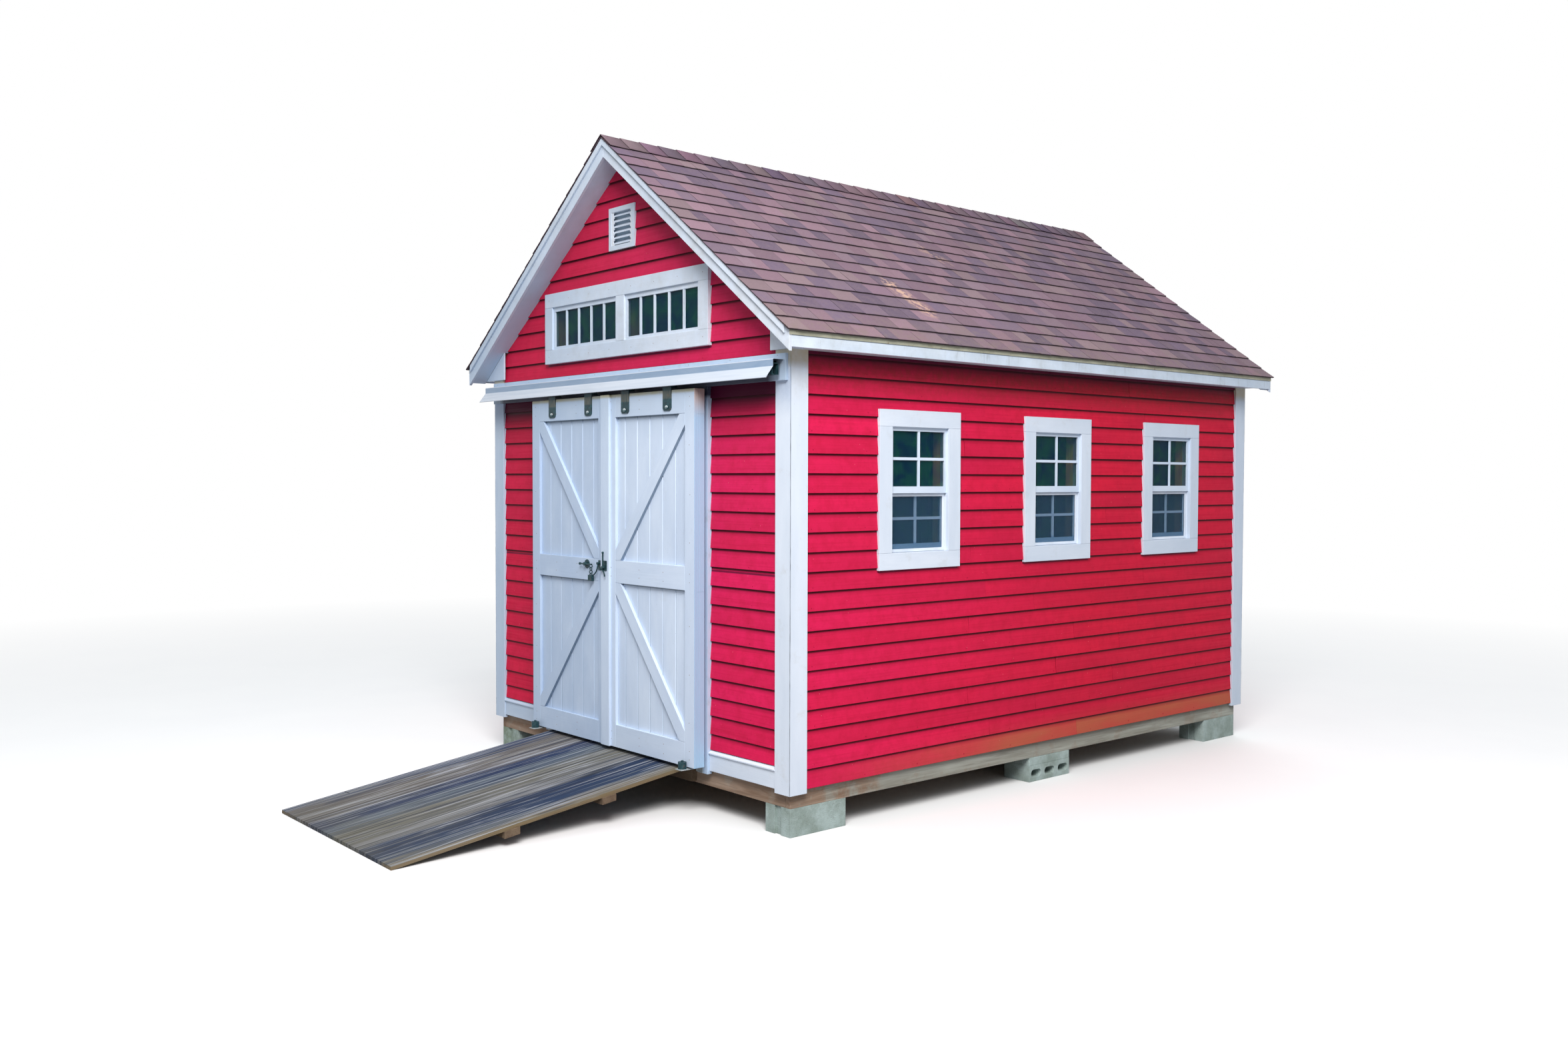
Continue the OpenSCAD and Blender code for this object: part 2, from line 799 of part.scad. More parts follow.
transom_sash_w = transom_half - front_casing_w / 2;
transom_d = casing_face - transom_recess;
transom_light = [transom_stile_w, transom_foot_h,
                 transom_sash_w - 2 * transom_stile_w, transom_h - transom_foot_h - transom_top_h];

module transom_sashes() color("white") for (x = [-transom_half, front_casing_w / 2]) {
    front_plate(transom_d - sash_t, transom_d)
        translate([x, transom_z]) sash_rails(transom_sash_w, transom_h, transom_light);
    front_plate(transom_d - sash_t + bar_d, transom_d - 2)
        translate([x, transom_z]) sash_bars(transom_light, transom_panes, 1, transom_bar_w);
}

module transom_glass() color("slategray")
    front_plate(transom_d - (sash_t + glass_t) / 2, transom_d - (sash_t - glass_t) / 2)
        for (x = [-transom_half, front_casing_w / 2])
            translate([x, transom_z]) sash_light(transom_light);

// Gable vents

// A rim with sloping louvres, set in the wall
module gable_vent() {
    step = (vent_h - 2 * vent_rim) / louvre_count;
    slope_h = 0.6 * step;
    front_d = trim_face - 10;
    back_d = 2;
    thick = 4;
    front_plate(0, trim_face - 6) difference() {
        pane(-vent_w / 2, vent_z, vent_w / 2, vent_z + vent_h);
        pane(-vent_w / 2 + vent_rim, vent_z + vent_rim, vent_w / 2 - vent_rim, vent_z + vent_h - vent_rim);
    }
    for (i = [0:louvre_count - 1])
        translate([-vent_w / 2 + vent_rim - 1, front_y, vent_z + vent_rim + (i + 0.15) * step])
            rotate([90, 0, 90]) linear_extrude(vent_w - 2 * vent_rim + 2)
                polygon([[-back_d, slope_h], [-back_d, slope_h + thick], [-front_d, thick], [-front_d, 0]]);
}

module gable_vents() color("white") both_ends() gable_vent();

// Roof

rafter_count = bays(frame_l, rafter_step);
function rafter_y(i) = front_y + (frame_l - lumber_t) * i / rafter_count;

// A rafter's outline, with its seat on the plate and its tail cut level over the soffit
module rafter_outline() {
    top = frame_top;
    bottom = top - rafter_v;
    tail = fascia_x - board_t;
    level = soffit_z + soffit_t;
    ridge_x = lumber_t / 2;
    polygon([
        [ridge_x, slope_z(top, ridge_x)], [tail, slope_z(top, tail)], [tail, level],
        [(bottom - level) / pitch, level], [half_w, slope_z(bottom, half_w)], [half_w, plate_z],
        [(bottom - plate_z) / pitch, plate_z], [ridge_x, slope_z(bottom, ridge_x)]
    ]);
}

module rafters() color("burlywood") both_sides() for (i = [0:rafter_count])
    along_y(rafter_y(i), rafter_y(i) + lumber_t) rafter_outline();

module ridge_board() color("burlywood") {
    top = slope_z(frame_top, lumber_t / 2);
    span([-lumber_t / 2, front_y, top - ridge_h], [lumber_t / 2, back_y, top]);
}

// Ties between the rafters of each inner pair, beside them
module rafter_ties() color("burlywood") for (i = [1:rafter_count - 1]) {
    top = frame_top;
    low = plate_z + tie_up;
    along_y(rafter_y(i) + lumber_t, rafter_y(i) + 2 * lumber_t) polygon([
        [-(top - low) / pitch, low], [(top - low) / pitch, low],
        [(top - low - tie_h) / pitch, low + tie_h], [-(top - low - tie_h) / pitch, low + tie_h]
    ]);
}

// A strip under the slope, between two distances from the ridge: top is its top at the ridge
module slope_strip(top, depth, x0, x1) {
    polygon([[x0, slope_z(top, x0)], [x1, slope_z(top, x1)],
             [x1, slope_z(top, x1) - depth], [x0, slope_z(top, x0) - depth]]);
}

module roof_deck() color("peru") both_sides()
    along_y(front_y - rake_out + board_t, back_y + rake_out - board_t)
        slope_strip(roof_z, roof_v, eps, fascia_x);

module rake_boards() color("white") both_sides() both_ends()
    front_plate(rake_out - board_t, rake_out) slope_strip(roof_z, rake_v, eps, fascia_x);

// Strips along the top of the rake boards, which end a little before the fascias
module rake_strips() color("white") both_sides() both_ends() {
    strip_in = 30;
    front_plate(rake_out, rake_out + strip_t) slope_strip(roof_z, strip_v, eps, fascia_x - strip_in);
}

module fascias() color("white") both_sides()
    span([fascia_x - board_t, front_y - rake_out + board_t, fascia_z],
         [fascia_x, back_y + rake_out - board_t, fascia_top]);

// Folded metal along the eaves: over the roof boards' edge and down the fascia
module drip_edges() color("white") both_sides() {
    out = 3;
    lip = 16;
    drop = roof_v + lip;
    along_y(front_y - rake_out, back_y + rake_out) polygon([
        [fascia_x, slope_z(roof_z, fascia_x)], [fascia_x + out, slope_z(roof_z, fascia_x + out)],
        [fascia_x + out, slope_z(roof_z, fascia_x) - drop], [fascia_x, slope_z(roof_z, fascia_x) - drop]
    ]);
}

// Sloping soffits under the rakes and level ones under the eaves
module soffits() color("lightgray") both_sides() {
    inner = half_w - end_in;
    both_ends() {
        front_plate(sheathing_t, rake_out - board_t) slope_strip(rake_soffit_z, soffit_v, eps, inner);
        front_plate(trim_face + end_t, rake_out - board_t)
            slope_strip(rake_soffit_z, soffit_v, inner + eps, fascia_x - board_t);
    }
    span([half_w + sheathing_t, front_y - trim_face, soffit_z],
         [fascia_x - board_t, back_y + trim_face, soffit_z + soffit_t]);
}

// The panels that close the boxed eaves at the gable walls
module eave_ends() color("white") both_sides() both_ends() {
    under = gable_under;
    inner = half_w - end_in;
    tip = min(fascia_x - board_t, (under - soffit_z) / pitch);
    front_plate(trim_face, trim_face + end_t) polygon([
        [inner, soffit_z], [tip, soffit_z], [tip, slope_z(under, tip)], [inner, slope_z(under, inner)]
    ]);
}

// Rows of shingles, each thicker at its lower edge
module shingle_slope() {
    run = shingle_step * cos_p;
    rise = run * pitch;
    edge = fascia_x + shingle_out;
    last_row = 60;
    rows = floor((edge - last_row) / run);
    t = shingle_t / cos_p;
    top_t = shingle_top_t / cos_p;
    base = roof_z + seat_gap;
    polygon(concat(
        [[eps, slope_z(base, eps)], [edge, slope_z(base, edge)]],
        [for (i = [0:rows - 1], p = [[0, t], [run, top_t]])
            [edge - i * run - p[0], slope_z(base, edge - i * run - p[0]) + p[1]]],
        [[eps, slope_z(base, eps) + top_t]]
    ));
}

module shingles() color("rosybrown") both_sides()
    along_y(front_y - shingle_end, back_y + shingle_end) shingle_slope();

module ridge_cap() color("rosybrown") {
    t = shingle_t / cos_p;
    top = roof_z + 2 * seat_gap + t;
    x = cap_w * cos_p;
    thick = 0.6 * t;
    along_y(front_y - shingle_end, back_y + shingle_end) polygon([
        [0, top], [x, slope_z(top, x)], [x, slope_z(top, x) + thick], [0, top + thick],
        [-x, slope_z(top, x) + thick], [-x, slope_z(top, x)]
    ]);
}

// Doorway and track

module door_casings() color("white") {
    front_plate(sheathing_t, casing_face) {
        for (s = [-1, 1])
            translate([s * (door_half + front_casing_w / 2) - front_casing_w / 2, corner_z])
                square([front_casing_w, track_board_z - corner_z]);
        pane(-door_half + eps, door_top, door_half - eps, track_board_z);
    }
}

module track_board() color("white") front_plate(trim_face, track_board_face)
    pane(-board_half, track_board_z, board_half, track_board_top);

// The middle of the track lies a little behind the middle of the leaves' thickness
track_back = 5;
track_d = (leaf_back + leaf_face) / 2 - track_back;

// Each leaf travels until its outer trolley meets a stop, and the right one stops short of that where
// its meeting board reaches the floor guide
wheel_dx = 18;
trolley_half = wheel_dx + wheel_r;
stop_l = 12;
left_travel = track_half - stop_in - slide_gap - trolley_half - hanger_out;
right_travel = min(left_travel, guide_x - roller_r - slide_gap - astragal_w / 2);

// The box track: folded from sheet to a channel that is open below by its slot
module door_track() color("darkslategray") {
    side_h = track_h - track_wall - seam;
    lip_w = (track_w - track_slot) / 2 - track_wall - seam;
    translate([-track_half, front_y - track_d, track_z]) rotate([90, 0, 90]) linear_extrude(2 * track_half) {
        translate([-track_w / 2, track_h - track_wall]) square([track_w, track_wall]);
        for (s = [0, 1]) mirror([s, 0]) {
            translate([track_w / 2 - track_wall, 0]) square([track_wall, side_h]);
            translate([track_slot / 2, 0]) square([lip_w, track_wall]);
        }
    }
}

// Angles that carry the track from its board, and a stop in the track where each outer trolley ends
module track_fittings() color("darkslategray") {
    d1 = track_d + track_w / 2;
    arm_t = 4;
    arm_w = 40;
    arm_in = 40;
    low = track_z + track_h;
    high = hood_top - hood_t - arm_t / 2;
    leg_d = track_board_face + arm_t;
    for (i = [-3:3])
        translate([i * (track_half - arm_in - arm_w / 2) / 3 - arm_w / 2, front_y, 0]) rotate([90, 0, 90])
            linear_extrude(arm_w) polygon([
                [-track_board_face, low], [-d1, low], [-d1, low + arm_t], [-leg_d, low + arm_t],
                [-leg_d, high], [-track_board_face, high]
            ]);
    for (x = [-track_half + stop_in - stop_l, hanger_out + trolley_half + right_travel + slide_gap])
        translate([x, front_y - d1 + track_wall, track_z + track_wall])
            cube([stop_l, track_w - 2 * track_wall, track_h - 2 * track_wall]);
}

// The hood, folded from sheet: a top, an upright face and a lip that flares out
module track_hood() color("white") {
    top_l = hood_out - hood_t - seam;
    face_l = hood_face_h - seam;
    angle = atan2(hood_flare, hood_lip_h);
    lip_l = sqrt(hood_flare * hood_flare + hood_lip_h * hood_lip_h);
    translate([-hood_half, front_y - track_board_face, hood_top]) rotate([90, 0, 90])
        linear_extrude(2 * hood_half) {
            translate([-top_l, -hood_t]) square([top_l, hood_t]);
            translate([-hood_out, -face_l]) square([hood_t, face_l]);
            translate([-hood_out, -hood_face_h]) rotate(-angle)
                translate([0, -lip_l]) square([hood_t, lip_l]);
        }
}

// A guide's plate lies below the leaf's foot
guide_gap = 8;
guide_z = leaf_z - guide_gap - guide_t;
roller_d = leaf_face + roller_r + slide_gap;
roller_pin_r = 8;

// A plate from the casing's face out under the leaf, with a roller that keeps the leaf's foot in
module floor_guides() color("darkslategray") both_sides() {
    tip = roller_d + roller_r + guide_t;
    flange_h = guide_w / 2;
    x0 = guide_x - guide_w / 2;
    x1 = guide_x + guide_w / 2;
    span([x0, front_y - tip, guide_z], [x1, front_y - casing_face, guide_z + guide_t]);
    span([x0, front_y - casing_face - guide_t, guide_z - flange_h],
         [x1, front_y - casing_face, guide_z + guide_t]);
    translate([guide_x, front_y - roller_d, guide_z + guide_t]) {
        cylinder(r = roller_r, h = roller_h);
        cylinder(r = roller_pin_r, h = roller_h + roller_pin_r);
    }
}

// Door leaves: the right one, mirrored for the left

// The planks, with a V groove at each joint
module planks() {
    groove = 5;
    first = astragal_w / 2;
    joints = [for (x = [first:plank_w:leaf_out - 4 * groove]) x];
    translate([0, front_y, leaf_z]) linear_extrude(leaf_h) difference() {
        translate([leaf_in, -plank_face]) square([leaf_w, plank_t]);
        for (x = joints)
            translate([x, -plank_face]) polygon([[-groove, -1], [0, groove], [groove, -1]]);
    }
}

// Stiles and rails: rows is the list of each rail's lower edge above the leaf's foot
module frame_boards(rows, rail) {
    for (x = [leaf_in, leaf_out - stile_w]) pane(x, leaf_z, x + stile_w, leaf_top);
    for (z = rows) pane(leaf_in + stile_w + eps, leaf_z + z, leaf_out - stile_w - eps, leaf_z + z + rail);
}

rail_zs = [0, (leaf_h - rail_h) / 2, leaf_h - rail_h];

module back_frame() front_plate(leaf_back, plank_back)
    frame_boards([0, (leaf_h - stile_w) / 2, leaf_h - stile_w], stile_w);

// A brace between two corners of a panel, cut to the panel's edges
module brace(x0, z0, x1, z1) {
    angle = atan2(z1 - z0, x1 - x0);
    length = sqrt(pow(x1 - x0, 2) + pow(z1 - z0, 2));
    intersection() {
        pane(min(x0, x1) + eps, min(z0, z1) + eps, max(x0, x1) - eps, max(z0, z1) - eps);
        translate([x0, z0]) rotate(angle) translate([0, -brace_w / 2]) square([length, brace_w]);
    }
}

// Trim on the planks: stiles, rails and a brace in each panel that points at the meeting edge
module door_trim() front_plate(plank_face, leaf_face) {
    x0 = leaf_in + stile_w;
    x1 = leaf_out - stile_w;
    frame_boards(rail_zs, rail_h);
    brace(x0, leaf_z + rail_zs[1] + rail_h, x1, leaf_z + rail_zs[2]);
    brace(x1, leaf_z + rail_zs[0] + rail_h, x0, leaf_z + rail_zs[1]);
}

// A hanger: wheels in the track, a plate through the slot and a strap on the leaf's face
module hanger(x) {
    wheel_gap = 0.5;
    wheel_side_gap = 3.5;
    plate_t = 4;
    axle_d = 8;
    bolt_d = 20;
    bolt_h = 7;
    wheel_z = track_z + track_wall + wheel_gap + wheel_r;
    plate_half = trolley_half - 4;
    axle_h = 2 * (plate_t / 2 + wheel_side_gap + wheel_w);
    neck_z = leaf_top + 13;
    // The bolt sits its own width above the strap's foot
    strap_z = leaf_top - strap_l;
    bolt_z = strap_z + bolt_d;
    face_d = leaf_face + strap_t;
    translate([x, front_y, 0]) {
        // Plate through the slot
        translate([-plate_half, -track_d - plate_t / 2, neck_z])
            cube([2 * plate_half, plate_t, wheel_z + axle_d - neck_z]);
        // Shelf forward to the face of the leaf
        translate([-strap_w / 2, -face_d, neck_z]) cube([strap_w, face_d - track_d + plate_t / 2, strap_t]);
        // Strap down the face, with round lower corners
        translate([0, -leaf_face, 0]) rotate([90, 0, 0]) linear_extrude(strap_t) union() {
            low = strap_z + strap_corner;
            flat = strap_w / 2 - strap_corner;
            pane(-strap_w / 2, low, strap_w / 2, neck_z + strap_t);
            pane(-flat, strap_z, flat, low + 1);
            for (s = [-1, 1]) translate([s * flat, low]) circle(r = strap_corner);
        }
        // Bolt head
        translate([0, -face_d + eps, bolt_z]) rotate([90, 0, 0]) cylinder(d = bolt_d, h = bolt_h);
        // Axles and wheels
        for (dx = [-wheel_dx, wheel_dx]) translate([dx, 0, wheel_z]) rotate([90, 0, 0]) {
            translate([0, 0, track_d - axle_h / 2]) cylinder(d = axle_d, h = axle_h);
            for (z = [track_d - axle_h / 2, track_d + axle_h / 2 - wheel_w])
                translate([0, 0, z]) cylinder(r = wheel_r, h = wheel_w);
        }
    }
}

module hangers() for (x = [hanger_in, hanger_out]) hanger(x);

module left_door_planks() color("whitesmoke") mirror([1, 0, 0]) planks();

module left_door_frame() color("whitesmoke") mirror([1, 0, 0]) back_frame();

module left_door_trim() color("white") mirror([1, 0, 0]) door_trim();

module left_door_hangers() color("darkslategray") mirror([1, 0, 0]) hangers();

module right_door_planks() color("whitesmoke") planks();

module right_door_frame() color("whitesmoke") back_frame();

module right_door_trim() color("white") door_trim();

module right_door_hangers() color("darkslategray") hangers();

// The board over the meeting edges, fixed to the right leaf and rebated where it laps the left one
module astragal() color("white") difference() {
    front_plate(leaf_face, astragal_face) pane(-astragal_w / 2, leaf_z, astragal_w / 2, leaf_top);
    front_plate(leaf_face - 1, leaf_face + slide_gap) pane(-astragal_w, leaf_z - 1, leaf_in, leaf_top + 1);
}

// Latch

latch_z = leaf_z + (leaf_h + rail_h) / 2 - 36;
latch_x = -217;
latch_out = 18;
eye_x = -72;
lock_x = -150;

// How far a boss stands out of the bar that it holds
boss_out = 2.5;

// A ring of wire that stands upright, in line with the door or square to it
module ring(x, z, radius, wire, square_to_door) {
    translate([x, -latch_out, z]) rotate([90, 0, square_to_door ? 90 : 0])
        rotate_extrude() translate([radius, 0]) circle(d = wire);
}

// On the left leaf: a bolt in its plate, an eye beside the meeting board, and a chain with a padlock
module door_latch() color("darkslategray") translate([0, front_y - leaf_face, latch_z]) {
    plate_t = 4;
    bolt_d = 10;
    bolt_tail = 56;
    eye_up = 10;
    arm_d = 8;
    link_r = 10;
    wire = 5;
    pitch_z = 2 * link_r - wire / 2;
    bow_r = 11;
    bow_z = -link_r - 2.5 * pitch_z - bow_r;
    lock = [40, 18, 35];
    translate([latch_x, 0, 0]) rotate([90, 0, 0]) {
        cylinder(d = 54, h = plate_t);
        cylinder(d = 22, h = latch_out + bolt_d / 2 + boss_out);
    }
    translate([latch_x - bolt_tail, -latch_out, 0]) {
        rotate([0, 90, 0]) cylinder(d = bolt_d, h = lock_x - latch_x + bolt_tail + bolt_d);
        sphere(d = 17);
    }
    translate([eye_x - 17, -plate_t, -30]) cube([34, plate_t, 58]);
    translate([eye_x, 0, eye_up]) rotate([90, 0, 0]) cylinder(d = 16, h = latch_out + arm_d / 2 + boss_out);
    // Arm from the eye down to the padlock's bow
    translate([lock_x, -latch_out, eye_up]) rotate([90, 0, 0]) rotate([0, 0, -90])
        rotate_extrude(angle = 90) translate([eye_x - lock_x, 0]) circle(d = arm_d);
    for (i = [0:2]) ring(lock_x, -link_r - i * pitch_z, link_r, wire, i % 2 == 0);
    ring(lock_x, bow_z, bow_r, wire + 1, false);
    translate([lock_x - lock[0] / 2, -latch_out - lock[1] / 2, bow_z - lock[2]]) cube(lock);
}

// On the meeting board: a bracket, an upright pin with a knob and a curved pull
module door_pull() color("darkslategray") translate([0, front_y - astragal_face, latch_z]) {
    out = 14;
    pin_d = 9;
    pin_z = -10;
    pin_h = 88;
    pull_x = -22;
    pull_r = 42;
    translate([-24, -4, -30]) cube([48, 4, 60]);
    translate([0, 0, pin_z]) rotate([90, 0, 0]) cylinder(d = 18, h = out + pin_d / 2 + boss_out);
    translate([0, -out, pin_z]) cylinder(d = pin_d, h = pin_h);
    translate([0, -out, pin_z + pin_h]) sphere(d = 15);
    translate([pull_x, 0, pin_z - 12]) rotate([90, 0, 0]) cylinder(d = 16, h = out + pin_d / 2 + boss_out);
    translate([pull_x, -out, pin_z - 12 - pull_r]) rotate([90, 0, 0])
        rotate_extrude(angle = 90) translate([pull_r, 0]) circle(d = pin_d);
}

// Ramp

ramp_top = floor_z - ramp_step;
ramp_slope = (ramp_top - ramp_t) / ramp_run;
ramp_v = ramp_t * sqrt(1 + ramp_slope * ramp_slope);

// The ramp's sheet: its top end stands against the rim and its toe lies on the ground
module ramp_deck() color("slategray")
    translate([-ramp_w / 2, front_y, 0]) rotate([90, 0, 90]) linear_extrude(ramp_w) polygon([
        [0, ramp_top], [-ramp_run, ramp_v], [-ramp_run, 0], [0, ramp_top - ramp_v]
    ]);

// A ledger on the rim and cross battens under the sheet, whose ends stick out a little
module ramp_battens() color("saddlebrown") {
    under = ramp_top - ramp_v;
    ledger_z = block_h + 10;
    ledger_top = under - ramp_slope * lumber_t;
    end_out = 6;
    span([-ramp_w / 2, front_y - lumber_t, ledger_z], [ramp_w / 2, front_y, ledger_top]);
    for (share = [0.3, 0.62]) {
        run = ramp_run * share;
        drop = ramp_slope * batten_w;
        translate([-ramp_w / 2 - end_out, front_y - run, under - ramp_slope * run]) rotate([90, 0, 90])
            linear_extrude(ramp_w + 2 * end_out) polygon([
                [0, 0], [-batten_w, -drop], [-batten_w, -drop - lumber_t], [0, -lumber_t]
            ]);
    }
}

ground_blocks();
cap_blocks();
side_rims();
end_rims();
floor_joists();
floor_deck();
side_plates();
end_plates();
wall_studs();
wall_beams();
side_sheathing();
end_sheathing();
front_siding();
rear_siding();
left_siding();
right_siding();
corner_boards();
water_table();
window_casings();
window_frames();
window_sashes();
window_glass();
transom_casing();
transom_sashes();
transom_glass();
gable_vents();
rafters();
ridge_board();
rafter_ties();
roof_deck();
shingles();
ridge_cap();
rake_boards();
rake_strips();
fascias();
drip_edges();
soffits();
eave_ends();
door_casings();
track_board();
door_track();
track_fittings();
track_hood();
floor_guides();
left_door_planks();
left_door_frame();
left_door_trim();
left_door_hangers();
door_latch();
right_door_planks();
right_door_frame();
right_door_trim();
right_door_hangers();
astragal();
door_pull();
ramp_deck();
ramp_battens();
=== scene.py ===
"""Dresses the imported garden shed: clapboards, shingles, painted boards, hardware and glass.

Lengths are metres in the frame of the CAD rows: +Z is up, +X is right and the doors face -Y.
"""

import math
import random

import bmesh
import bpy
from mathutils import Matrix, Vector


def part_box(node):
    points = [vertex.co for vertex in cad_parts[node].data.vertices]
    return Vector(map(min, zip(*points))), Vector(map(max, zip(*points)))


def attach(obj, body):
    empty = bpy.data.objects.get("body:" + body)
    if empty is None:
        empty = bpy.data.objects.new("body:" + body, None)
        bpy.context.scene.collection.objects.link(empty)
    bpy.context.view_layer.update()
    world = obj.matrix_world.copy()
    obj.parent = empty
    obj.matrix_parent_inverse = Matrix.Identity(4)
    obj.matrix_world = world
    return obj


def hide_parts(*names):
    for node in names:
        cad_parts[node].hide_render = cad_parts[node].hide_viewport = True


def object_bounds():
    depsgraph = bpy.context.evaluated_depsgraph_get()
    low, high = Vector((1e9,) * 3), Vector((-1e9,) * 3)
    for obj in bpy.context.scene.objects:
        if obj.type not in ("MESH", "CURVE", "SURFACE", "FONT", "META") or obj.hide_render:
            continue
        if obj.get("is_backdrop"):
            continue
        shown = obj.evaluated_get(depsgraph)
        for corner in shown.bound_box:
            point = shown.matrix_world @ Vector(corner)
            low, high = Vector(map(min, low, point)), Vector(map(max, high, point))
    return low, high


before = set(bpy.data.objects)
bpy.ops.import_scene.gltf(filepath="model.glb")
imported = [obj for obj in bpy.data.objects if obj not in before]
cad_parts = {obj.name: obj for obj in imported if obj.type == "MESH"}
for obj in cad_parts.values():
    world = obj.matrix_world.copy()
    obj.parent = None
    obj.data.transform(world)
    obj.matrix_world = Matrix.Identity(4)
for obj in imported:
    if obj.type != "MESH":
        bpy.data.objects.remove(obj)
cad_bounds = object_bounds()

# Places taken from the frame
floor_low, floor_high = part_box("floor_deck")
HALF_W, FRONT, BACK, FLOOR = floor_high.x, floor_low.y, floor_high.y, floor_high.z
MIDDLE = (FRONT + BACK) / 2
LEAF_OUTER, _, LEAF_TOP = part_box("right_door_trim")[1]
SHINGLE_LOW, SHINGLE_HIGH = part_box("shingles")

# Sizes of the CAD source that this script builds on
SHEATHING = 0.011
LAP, BUTT_T, LAP_TOP_T = 0.104, 0.014, 0.005
DOORWAY_HALF = 0.870
WINDOW_STEP, CASING_HALF = 1.253, 0.331
WINDOW_YS = [MIDDLE + 0.022 + WINDOW_STEP * i for i in (-1, 0, 1)]
WINDOW_FOOT = FLOOR + 1.165
LEAF_RAIL_FEET = (1.2615, 2.2470)
RAMP_T = 0.019
PITCH, SLOPE_COS, SLOPE_SIN = 0.75, 0.8, 0.6
SHINGLE_STEP, SHINGLE_T, SHINGLE_TOP_T = 0.127, 0.010, 0.005
# Height of the roof boards under the shingles' lower edge
EAVE_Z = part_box("roof_deck")[1].z + 0.0005 * PITCH - SHINGLE_HIGH.x * PITCH + 0.0001


# Meshes

def clamped(value, low=0.0):
    return min(1.0, max(low, value))


def put(name, data):
    """Puts a new object into the scene."""
    obj = bpy.data.objects.new(name, data)
    bpy.context.scene.collection.objects.link(obj)
    return obj


class Builder:
    """Collects solids with values on their points, then makes one mesh object of them."""

    def __init__(self, name):
        self.name = name
        self.points, self.faces, self.values = [], [], {}

    def loft(self, rings, **values):
        """A closed solid through rings of points; a list of values holds one for each point."""
        start, count, size = len(self.points), len(rings[0]), len(rings) * len(rings[0])
        faces = [list(range(count)), [size - 1 - i for i in range(count)]]
        for r in range(len(rings) - 1):
            for i in range(count):
                a, b = r * count + i, r * count + (i + 1) % count
                faces.append([b, a, a + count, b + count])
        self.points += [tuple(p) for ring in rings for p in ring]
        self.faces += [[start + i for i in face] for face in faces]
        for key, value in values.items():
            self.values.setdefault(key, []).extend(value if isinstance(value, list) else [value] * size)

    def box(self, low, high):
        ring = [(low[0], low[1]), (high[0], low[1]), (high[0], high[1]), (low[0], high[1])]
        self.loft([[(x, y, z) for x, y in ring] for z in (low[2], high[2])])

    def disc(self, centre, normal, radius, height, sides, **values):
        """A low round head, such as a nail's: sunk a little, and narrower at its top."""
        normal = Vector(normal).normalized()
        side = normal.orthogonal().normalized()
        other = normal.cross(side)
        turns = [2 * math.pi * i / sides for i in range(sides)]
        self.loft([[Vector(centre) + normal * height * lift
                    + radius * share * (side * math.cos(turn) + other * math.sin(turn)) for turn in turns]
                   for lift, share in ((-0.3, 1.0), (0.6, 1.0), (1.0, 0.6))], **values)

    def make(self):
        mesh = bpy.data.meshes.new(self.name)
        mesh.from_pydata(self.points, [], self.faces)
        for key, column in self.values.items():
            if isinstance(column[0], float):
                mesh.attributes.new(key, "FLOAT", "POINT").data.foreach_set("value", column)
            else:
                flat = [x for vector in column for x in vector]
                mesh.attributes.new(key, "FLOAT_VECTOR", "POINT").data.foreach_set("vector", flat)
        work = bmesh.new()
        work.from_mesh(mesh)
        bmesh.ops.recalc_face_normals(work, faces=work.faces)
        work.to_mesh(mesh)
        work.free()
        return put(self.name, mesh)


def settle(obj, body, slot, look, *nodes):
    """Gives a finished piece its material and its body, and hides the CAD nodes that it stands for."""
    obj.data.materials.clear()
    obj.data.materials.append(MATERIALS[look])
    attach(obj, body)
    if nodes:
        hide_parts(*nodes)


def islands(work):
    """The separate solids of a bmesh, each as a list of its vertices."""
    work.verts.index_update()
    seen = set()
    for start in work.verts:
        if start.index in seen:
            continue
        seen.add(start.index)
        todo, found = [start], []
        while todo:
            vert = todo.pop()
            found.append(vert)
            for edge in vert.link_edges:
                other = edge.other_vert(vert)
                if other.index not in seen:
                    seen.add(other.index)
                    todo.append(other)
        yield found


def long_axes(verts):
    """Axes for one board: the first lies along its longest edge."""
    edges = [edge for vert in verts for edge in vert.link_edges]
    longest = max(edges, key=lambda edge: round(edge.calc_length(), 4))
    first = (longest.verts[1].co - longest.verts[0].co).normalized()
    second = first.orthogonal().normalized()
    return first, second, first.cross(second)


def low_corner(verts):
    return tuple(min(vert.co[i] for vert in verts) for i in range(3))


def far_shade_share(place):
    """How much painted shade darkens white paint at a place and turns it bluer: least at the near corner,
    most at the far left.
    """
    left = clamped((HALF_W - place.x) / (2 * HALF_W))
    rear = clamped((place.y - FRONT) / (BACK - FRONT))
    return min(1.0, 0.85 * left + 0.45 * rear)


